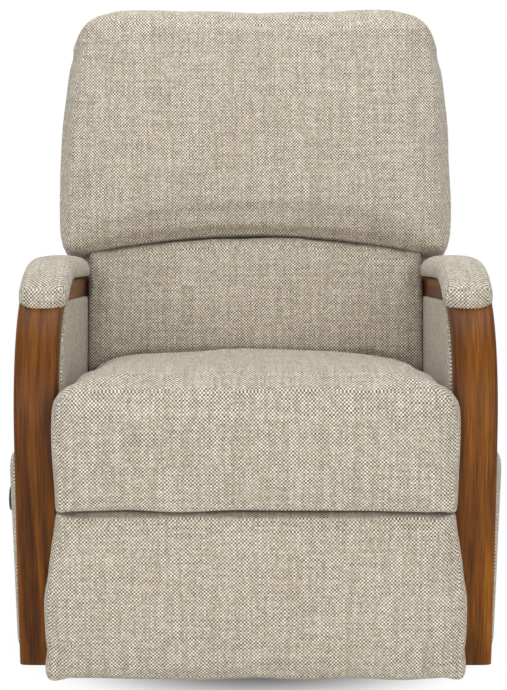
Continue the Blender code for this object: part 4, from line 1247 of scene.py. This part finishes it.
@dataclass
class Panel:
    """A board covered in thin padding: one side panel below the arm."""

    side: Side
    inner: float = 0.2893
    outer: float = 0.345
    foot: float = 0.075
    rear: float = 0.262
    edge: float = 0.005
    crown: float = 0.0006
    tuck: float = 0.002
    drill: Pair = (-0.40, -0.25)
    fill: float = 0.9

    def outline(self) -> Array:
        """The panel's edge in (y, z), evenly spaced: tucked into the arm, down the rear, along the foot."""
        path = ARM.points()
        under = path - ARM.outward(path) * (ARM.thick / 2.0 - self.tuck)
        under = under[under[:, 1] > self.foot]
        last = under[-1]
        corner = np.array([[self.rear, last[1] - (self.rear - last[0])], [self.rear, self.foot],
                           [under[0, 0], self.foot]])
        loop = np.concatenate([under, corner, under[:1]])
        return ARM.along(loop, np.linspace(0.0, ARM.lengths(loop)[-1], 260, endpoint=False))

    def form(self) -> Mesh:
        """Rings of the outline: shrunk to the middle of each face, with a round edge and a low crown."""
        edge = self.outline()
        middle = edge.mean(axis=0)
        away = edge - middle
        reach = np.linalg.norm(away, axis=1, keepdims=True)
        turn = np.linspace(0.0, math.pi / 2.0, 6)
        shrink = np.linspace(0.08, 1.0, 16)
        face = [middle + away * s * (1.0 - self.edge / reach) for s in shrink]
        rim = [middle + away * (1.0 - self.edge * (1.0 - math.sin(t)) / reach) for t in turn]
        flat = np.stack(face + rim[1:] + rim[::-1] + face[::-1][1:])
        deep = np.concatenate([self.crown * (1.0 - shrink ** 4), -self.edge * (1.0 - np.cos(turn[1:]))])
        inside = self.inner - deep
        rounded = -self.edge * (1.0 - np.cos(turn[::-1]))
        outside = self.outer + np.concatenate([rounded, np.zeros(len(shrink) - 1)])
        x = self.side.value * np.concatenate([inside, outside])[:, None]
        x = np.broadcast_to(x, flat.shape[:2])
        return closed_loft(np.concatenate([x[..., None], flat], axis=-1))

    def build(self, finishes: Finishes) -> bpy.types.Object:
        """Make the panel, drill the lever side for the shaft, and tie it to the chassis.

        Args:
            finishes: the chair's materials.
        Returns:
            The object.
        """
        obj = make_object(f"side_lining_{self.side.word}", self.form())
        if self.side is Side.LEFT:
            carve(obj, shaft_bore(self.drill))
        return dress_soft(obj, finishes, "chassis", f"side_panel_{self.side.word}")


@dataclass
class OuterCover:
    """The padded lower cover on the outside of one side panel, tucked in towards the floor."""

    side: Side
    inner: float = 0.3453
    outer: float = 0.3745
    foot: float = 0.060
    top: float = 0.387
    front: float = -0.334
    rear: float = 0.250
    tuck: float = 0.009
    tuck_from: float = 0.30
    corner: float = 0.034
    round_over: float = 0.022
    crown: float = 0.0035
    drill: Pair = (-0.42, -0.30)
    fill: float = 0.7

    def form(self) -> Mesh:
        """Round-cornered rings from the board outwards, rounded over at the face, then crowned."""
        low, high = self.inner, self.outer - self.round_over
        turn = np.linspace(0.0, math.pi / 2.0, 16)
        wall = np.concatenate([[low], np.linspace(low + 0.002, high, 5)])
        along = np.concatenate([wall, high + self.round_over * np.sin(turn[1:])])
        inset = np.concatenate([np.zeros(len(wall)), self.round_over * (1.0 - np.cos(turn[1:]))])
        shrink = np.linspace(0.94, 0.06, 20)
        limits = np.tile([self.front, self.rear, self.foot, self.top], (len(along), 1))
        edge = rings(limits, inset, (self.corner, self.corner))
        middle = np.array([(self.front + self.rear) / 2.0, (self.foot + self.top) / 2.0])
        face = middle + (edge[-1] - middle)[None] * shrink[:, None, None]
        flat = np.concatenate([edge, face])
        out = np.concatenate([along, self.outer + self.crown * (1.0 - shrink ** 2)])[:, None]
        out = np.broadcast_to(out, flat.shape[:2])
        drop = np.clip((self.tuck_from - flat[..., 1]) / (self.tuck_from - self.foot), 0.0, 1.0)
        out = self.inner + (out - self.inner) * (1.0 - self.tuck / (self.outer - self.inner) * drop ** 2)
        return closed_loft(np.concatenate([self.side.value * out[..., None], flat], axis=-1))

    def build(self, finishes: Finishes) -> bpy.types.Object:
        """Make the cover, open it for the lever's shaft on that side, and tie it to the chassis.

        Args:
            finishes: the chair's materials.
        Returns:
            The object.
        """
        obj = make_object(f"outer_cover_{self.side.word}", self.form())
        if self.side is Side.LEFT:
            carve(obj, shaft_bore(self.drill))
        return dress_soft(obj, finishes, "chassis", f"outer_panel_{self.side.word}")


@dataclass
class OuterBack:
    """The padded rear of the back: narrow between the arms, wide behind the pillow."""

    low: float = -0.050
    top: float = 0.718
    front: float = 0.0455
    rear: float = 0.128
    half_low: float = 0.284
    inset: float = 0.009
    step: float = 0.262
    step_soft: float = 0.012
    rounds: Pair = (0.016, 0.030)
    radii: Pair = (0.004, 0.036)
    drawn: Triple = (1.0, 0.1, 1.0)
    crown: float = 0.006
    fill: float = 0.7
    pillow: HeadPillow = field(default_factory=HeadPillow)

    def form(self) -> Mesh:
        """Round-cornered rings from the bottom up, with the pillow's own taper and upper corners."""
        z = stations(self.low, self.top, 150)
        upper = self.pillow.wide(z) - self.inset
        wider = ease(z, self.step - self.step_soft, self.step + self.step_soft)
        wide = self.half_low + (upper - self.half_low) * wider
        deep = self.rear - 0.014 * ease(z, 0.45, self.top) - 0.030 * (1.0 - ease(z, self.low, 0.25))
        limits = np.stack([-wide, wide, np.full_like(z, self.front), deep], axis=-1)
        ring = rings(limits, end_inset(z, self.low, self.top, self.rounds), self.radii, self.drawn)
        x, y = ring[..., 0], ring[..., 1]
        up = z[:, None] - self.pillow.corner_fall(x, z[:, None])
        part = np.clip(self.pillow.part(z[:, None]), 0.0, 1.0)
        middle = 1.0 - np.clip(x / self.pillow.half_low, -1.0, 1.0) ** 2
        y = y + self.crown * middle * np.sin(math.pi * part) * ease(y, self.front + 0.02, self.rear)
        surface = closed_loft(np.stack([x, y, up], axis=-1))
        return BACK.to_chair(surface[0]), surface[1]

    def build(self, finishes: Finishes) -> bpy.types.Object:
        """Make the outer back and tie it to the back."""
        obj = make_object("outer_back_padding", self.form())
        return dress_soft(obj, finishes, "back", "outer_back")


@dataclass
class RearRail:
    """The cloth-covered rail across the rear of the chassis."""

    half: float = 0.2890
    y: Pair = (0.230, 0.256)
    z: Pair = (0.086, 0.222)
    rounds: Pair = (0.006, 0.006)
    radii: Pair = (0.008, 0.008)
    fill: float = 0.9

    def form(self) -> Mesh:
        """Round-cornered rings from side to side."""
        x = stations(-self.half, self.half, 60)
        limits = np.tile([*self.y, *self.z], (len(x), 1))
        ring = rings(limits, end_inset(x, -self.half, self.half, self.rounds), self.radii)
        x = np.broadcast_to(x[:, None, None], ring.shape[:2] + (1,))
        return closed_loft(np.concatenate([x, ring], axis=-1))

    def build(self, finishes: Finishes) -> bpy.types.Object:
        """Make the rail and tie it to the chassis."""
        obj = make_object("rear_rail_padding", self.form())
        return dress_soft(obj, finishes, "chassis", "rear_rail")


@dataclass
class BentArm:
    """One bentwood strip: front post, bend and arm rail, with eased edges and a low crown across."""

    side: Side
    edge: float = 0.007
    crown: float = 0.0010
    grain_shift: Pair = (0.31, 1.73)

    def profile(self) -> Array:
        """A rectangle with round corners, as (across, outwards), begun in the middle of its underside."""
        half, deep = (ARM.outer - ARM.inner) / 2.0, ARM.thick / 2.0
        turn = np.linspace(0.0, math.pi / 2.0, 7)
        quarter = np.stack([np.sin(turn), -np.cos(turn)], axis=-1) * self.edge
        centre = np.array([half - self.edge, -(deep - self.edge)])
        first = centre + quarter
        second = (first * np.array([1.0, -1.0]))[::-1]
        flank = np.linspace(0.0, half - self.edge, 9)[:-1]
        under = np.stack([flank, np.full_like(flank, -deep)], axis=-1)
        over = np.stack([flank[::-1], deep + self.crown * (1.0 - (flank[::-1] / half) ** 2)], axis=-1)
        right = np.concatenate([under, first, second, over])
        left = (right * np.array([-1.0, 1.0]))[::-1]
        return np.concatenate([right, left[1:-1]])

    def build(self, finishes: Finishes) -> bpy.types.Object:
        """Carry the profile along the arm's line, and map it in metres along and round the strip.

        Args:
            finishes: the chair's materials.
        Returns:
            The object.
        """
        path = ARM.points()
        out = ARM.outward(path)
        section = self.profile()
        middle = self.side.value * (ARM.inner + ARM.outer) / 2.0
        x = np.broadcast_to(middle + section[:, 0], (len(path), len(section)))
        y = path[:, 0:1] + out[:, 0:1] * section[:, 1]
        z = path[:, 1:2] + out[:, 1:2] * section[:, 1]
        obj = make_object(f"bent_arm_{self.side.word}", closed_loft(np.stack([x, y, z], axis=-1)))
        self.map_grain(obj.data, path, section)
        return dress(obj, finishes, Slot.BENT_WOOD, "chassis", f"arm_{self.side.word}")

    def map_grain(self, mesh: bpy.types.Mesh, path: Array, section: Array) -> None:
        """Write metres along the strip and metres round it at every face corner.

        Args:
            mesh: the strip.
            path: its centre line.
            section: its profile.
        """
        rows, count = len(path), len(section)
        along = np.repeat(ARM.lengths(path), count)
        round_it = ARM.lengths(np.concatenate([section, section[:1]]))
        about = np.tile(round_it[:-1], rows)
        along = np.concatenate([along, [along[0], along[-1]]])
        about = np.concatenate([about, [0.0, 0.0]])
        vertex = np.empty(len(mesh.loops), dtype=np.int32)
        mesh.loops.foreach_get("vertex_index", vertex)
        start = np.empty(len(mesh.polygons), dtype=np.int32)
        total = np.empty(len(mesh.polygons), dtype=np.int32)
        mesh.polygons.foreach_get("loop_start", start)
        mesh.polygons.foreach_get("loop_total", total)
        face = np.repeat(np.arange(len(start)), total)
        place = about[vertex]
        highest = np.maximum.reduceat(place, start)[face]
        wrapped = np.where((highest - place) > round_it[-1] / 2.0, place + round_it[-1], place)
        shift = self.grain_shift[0 if self.side is Side.LEFT else 1]
        spot = np.stack([along[vertex] + shift, wrapped + shift], axis=-1)
        grain = mesh.uv_layers.new(name="grain")
        grain.data.foreach_set("uv", spot.astype(np.float32).ravel())


@dataclass
class LeverHandle:
    """The moulded paddle of the lever, with round edges."""

    hub: Pair = LEVER_SHAFT
    tip: Pair = (-0.230, 0.290)
    hub_radius: float = 0.016
    tip_radius: float = 0.020
    edge: float = 0.0030
    x: Pair = (-0.3855, -0.3775)
    arc: int = 24

    def build(self, finishes: Finishes) -> bpy.types.Object:
        """Rings of the two-radius outline, shrunk at both faces by a quarter circle.

        Args:
            finishes: the chair's materials.
        Returns:
            The object.
        """
        hub, tip = np.array(self.hub), np.array(self.tip)
        run = np.linalg.norm(tip - hub)
        face = math.atan2(tip[1] - hub[1], tip[0] - hub[0])
        lean = math.acos((self.hub_radius - self.tip_radius) / run)
        back = np.linspace(face + lean, face + 2.0 * math.pi - lean, self.arc)
        nose = np.linspace(face - lean, face + lean, self.arc)
        angle = np.concatenate([back, nose])
        unit = np.stack([np.cos(angle), np.sin(angle)], axis=-1)
        base = np.repeat(np.stack([hub, tip]), self.arc, axis=0)
        size = np.repeat([self.hub_radius, self.tip_radius], self.arc)[:, None]
        deep = (self.x[1] - self.x[0]) / 2.0
        turn = np.linspace(-math.pi / 2.0, math.pi / 2.0, 15)
        inset = self.edge * (1.0 - np.cos(turn))
        flat = base[None] + unit[None] * (size[None] - inset[:, None, None])
        x = (self.x[0] + self.x[1]) / 2.0 + deep * np.sin(turn)
        x = np.broadcast_to(x[:, None, None], flat.shape[:2] + (1,))
        obj = make_object("lever_paddle", closed_loft(np.concatenate([x, flat], axis=-1)))
        return dress(obj, finishes, Slot.DARK_PLASTIC, "lever", "recline_lever")


# The studio


@dataclass
class Studio:
    """A pale floor, soft lamps and the camera at the photograph's height and distance."""

    camera_at: Triple = (-0.0033, -3.235, 1.009)
    pitch_deg: float = 81.0
    lens_mm: float = 102.26
    sensor_mm: float = 36.0
    ambient: float = 0.44
    floor_reach: float = 30.0
    floor_drop: float = 0.0006
    fade: Pair = (0.20, 0.43)
    aim: Triple = (0.0, -0.1, 0.5)
    lamps: tuple[tuple[str, Triple, float, float], ...] = (
        ("key", (-1.6, -4.2, 1.4), 2.6, 45.0), ("fill", (1.6, -4.2, 1.2), 2.6, 41.0),
        ("overhead", (0.0, -0.1, 3.4), 2.6, 50.0), ("rear", (0.6, 3.0, 2.4), 2.4, 34.0))

    def build(self) -> None:
        """Set up the view, the floor, the world, the lamps and the camera."""
        bpy.context.scene.view_settings.view_transform = "Standard"
        self.floor()
        self.world()
        for row in self.lamps:
            self.lamp(*row)
        data = bpy.data.cameras.new("camera")
        data.sensor_fit = "VERTICAL"
        data.sensor_height = self.sensor_mm
        data.lens = self.lens_mm
        camera = bpy.data.objects.new("camera", data)
        camera.location = self.camera_at
        camera.rotation_euler = (math.radians(self.pitch_deg), 0.0, 0.0)
        bpy.context.scene.collection.objects.link(camera)
        bpy.context.scene.camera = camera

    def floor(self) -> None:
        """A wide plane, matt near the chair and fading to plain white further out."""
        mesh = bpy.data.meshes.new("floor")
        signs = ((-1.0, -1.0), (1.0, -1.0), (1.0, 1.0), (-1.0, 1.0))
        corners = [(x * self.floor_reach, y * self.floor_reach, -self.floor_drop) for x, y in signs]
        mesh.from_pydata(corners, [], [[0, 1, 2, 3]])
        made, tree, shader = blank("pale_floor")
        set_inputs(shader, {"Base Color": to_linear("#F7F6F4"), "Roughness": 0.9, "Specular IOR Level": 0.1})
        place = add_node(tree, "ShaderNodeTexCoord").outputs["Object"]
        away = vector_math(tree, "LENGTH", place, output="Value")
        far = carry(tree, away, (0.0, 1.0), self.fade, "SMOOTHSTEP")
        seen = number_math(tree, "MULTIPLY", far, self.seen(tree))
        white = add_node(tree, "ShaderNodeEmission", {"Color": WHITE, "Strength": 1.0}).outputs[0]
        mixed = add_node(tree, "ShaderNodeMixShader", {0: seen, 1: shader.outputs[0], 2: white}).outputs[0]
        tree.links.new(mixed, tree.nodes["Material Output"].inputs["Surface"])
        mesh.materials.append(made)
        obj = bpy.data.objects.new("floor", mesh)
        bpy.context.scene.collection.objects.link(obj)

    def seen(self, tree: Tree) -> Socket:
        """1 for what the camera sees straight, in a reflection or through glass."""
        path = add_node(tree, "ShaderNodeLightPath").outputs
        both = number_math(tree, "ADD", path["Is Camera Ray"], path["Is Glossy Ray"])
        return number_math(tree, "ADD", both, path["Is Transmission Ray"], clamp=True)

    def world(self) -> None:
        """White all round: plain white where it is seen, and a plain share of light on the chair."""
        world = bpy.data.worlds.new("studio")
        world.use_nodes = True
        tree = world.node_tree
        sky = tree.nodes["Background"]
        sky.inputs["Color"].default_value = WHITE
        tree.links.new(carry(tree, self.seen(tree), (self.ambient, 1.0)), sky.inputs["Strength"])
        bpy.context.scene.world = world

    def lamp(self, name: str, at: Triple, size: float, watts: float) -> None:
        """A square soft lamp aimed at the middle of the chair.

        Args:
            name: the lamp's name.
            at: where it hangs.
            size: its side in metres.
            watts: its power.
        """
        data = bpy.data.lights.new(name, "AREA")
        data.size = size
        data.energy = watts
        lamp = bpy.data.objects.new(name, data)
        lamp.location = at
        aim = np.array(self.aim) - np.array(at)
        flat = math.hypot(aim[0], aim[1])
        lamp.rotation_euler = (math.atan2(flat, -aim[2]), 0.0, math.atan2(-aim[0], aim[1]))
        bpy.context.scene.collection.objects.link(lamp)


def main() -> None:
    """Build every piece in order, dress the part, and light it."""
    finishes = Finishes()
    finishes.build()
    finishes.dress_nodes()
    SeatCushion().build(finishes)
    HeadPillow().build(finishes)
    LumbarCushion().build(finishes)
    FootrestPad().build(finishes)
    for side in Side:
        ArmPad(name=f"arm_padding_{side.word}", node=f"arm_pad_{side.word}", side=side).build(finishes)
        Panel(side).build(finishes)
        OuterCover(side).build(finishes)
        BentArm(side).build(finishes)
    OuterBack().build(finishes)
    RearRail().build(finishes)
    LeverHandle().build(finishes)
    Studio().build()


if __name__ == "__main__":
    main()
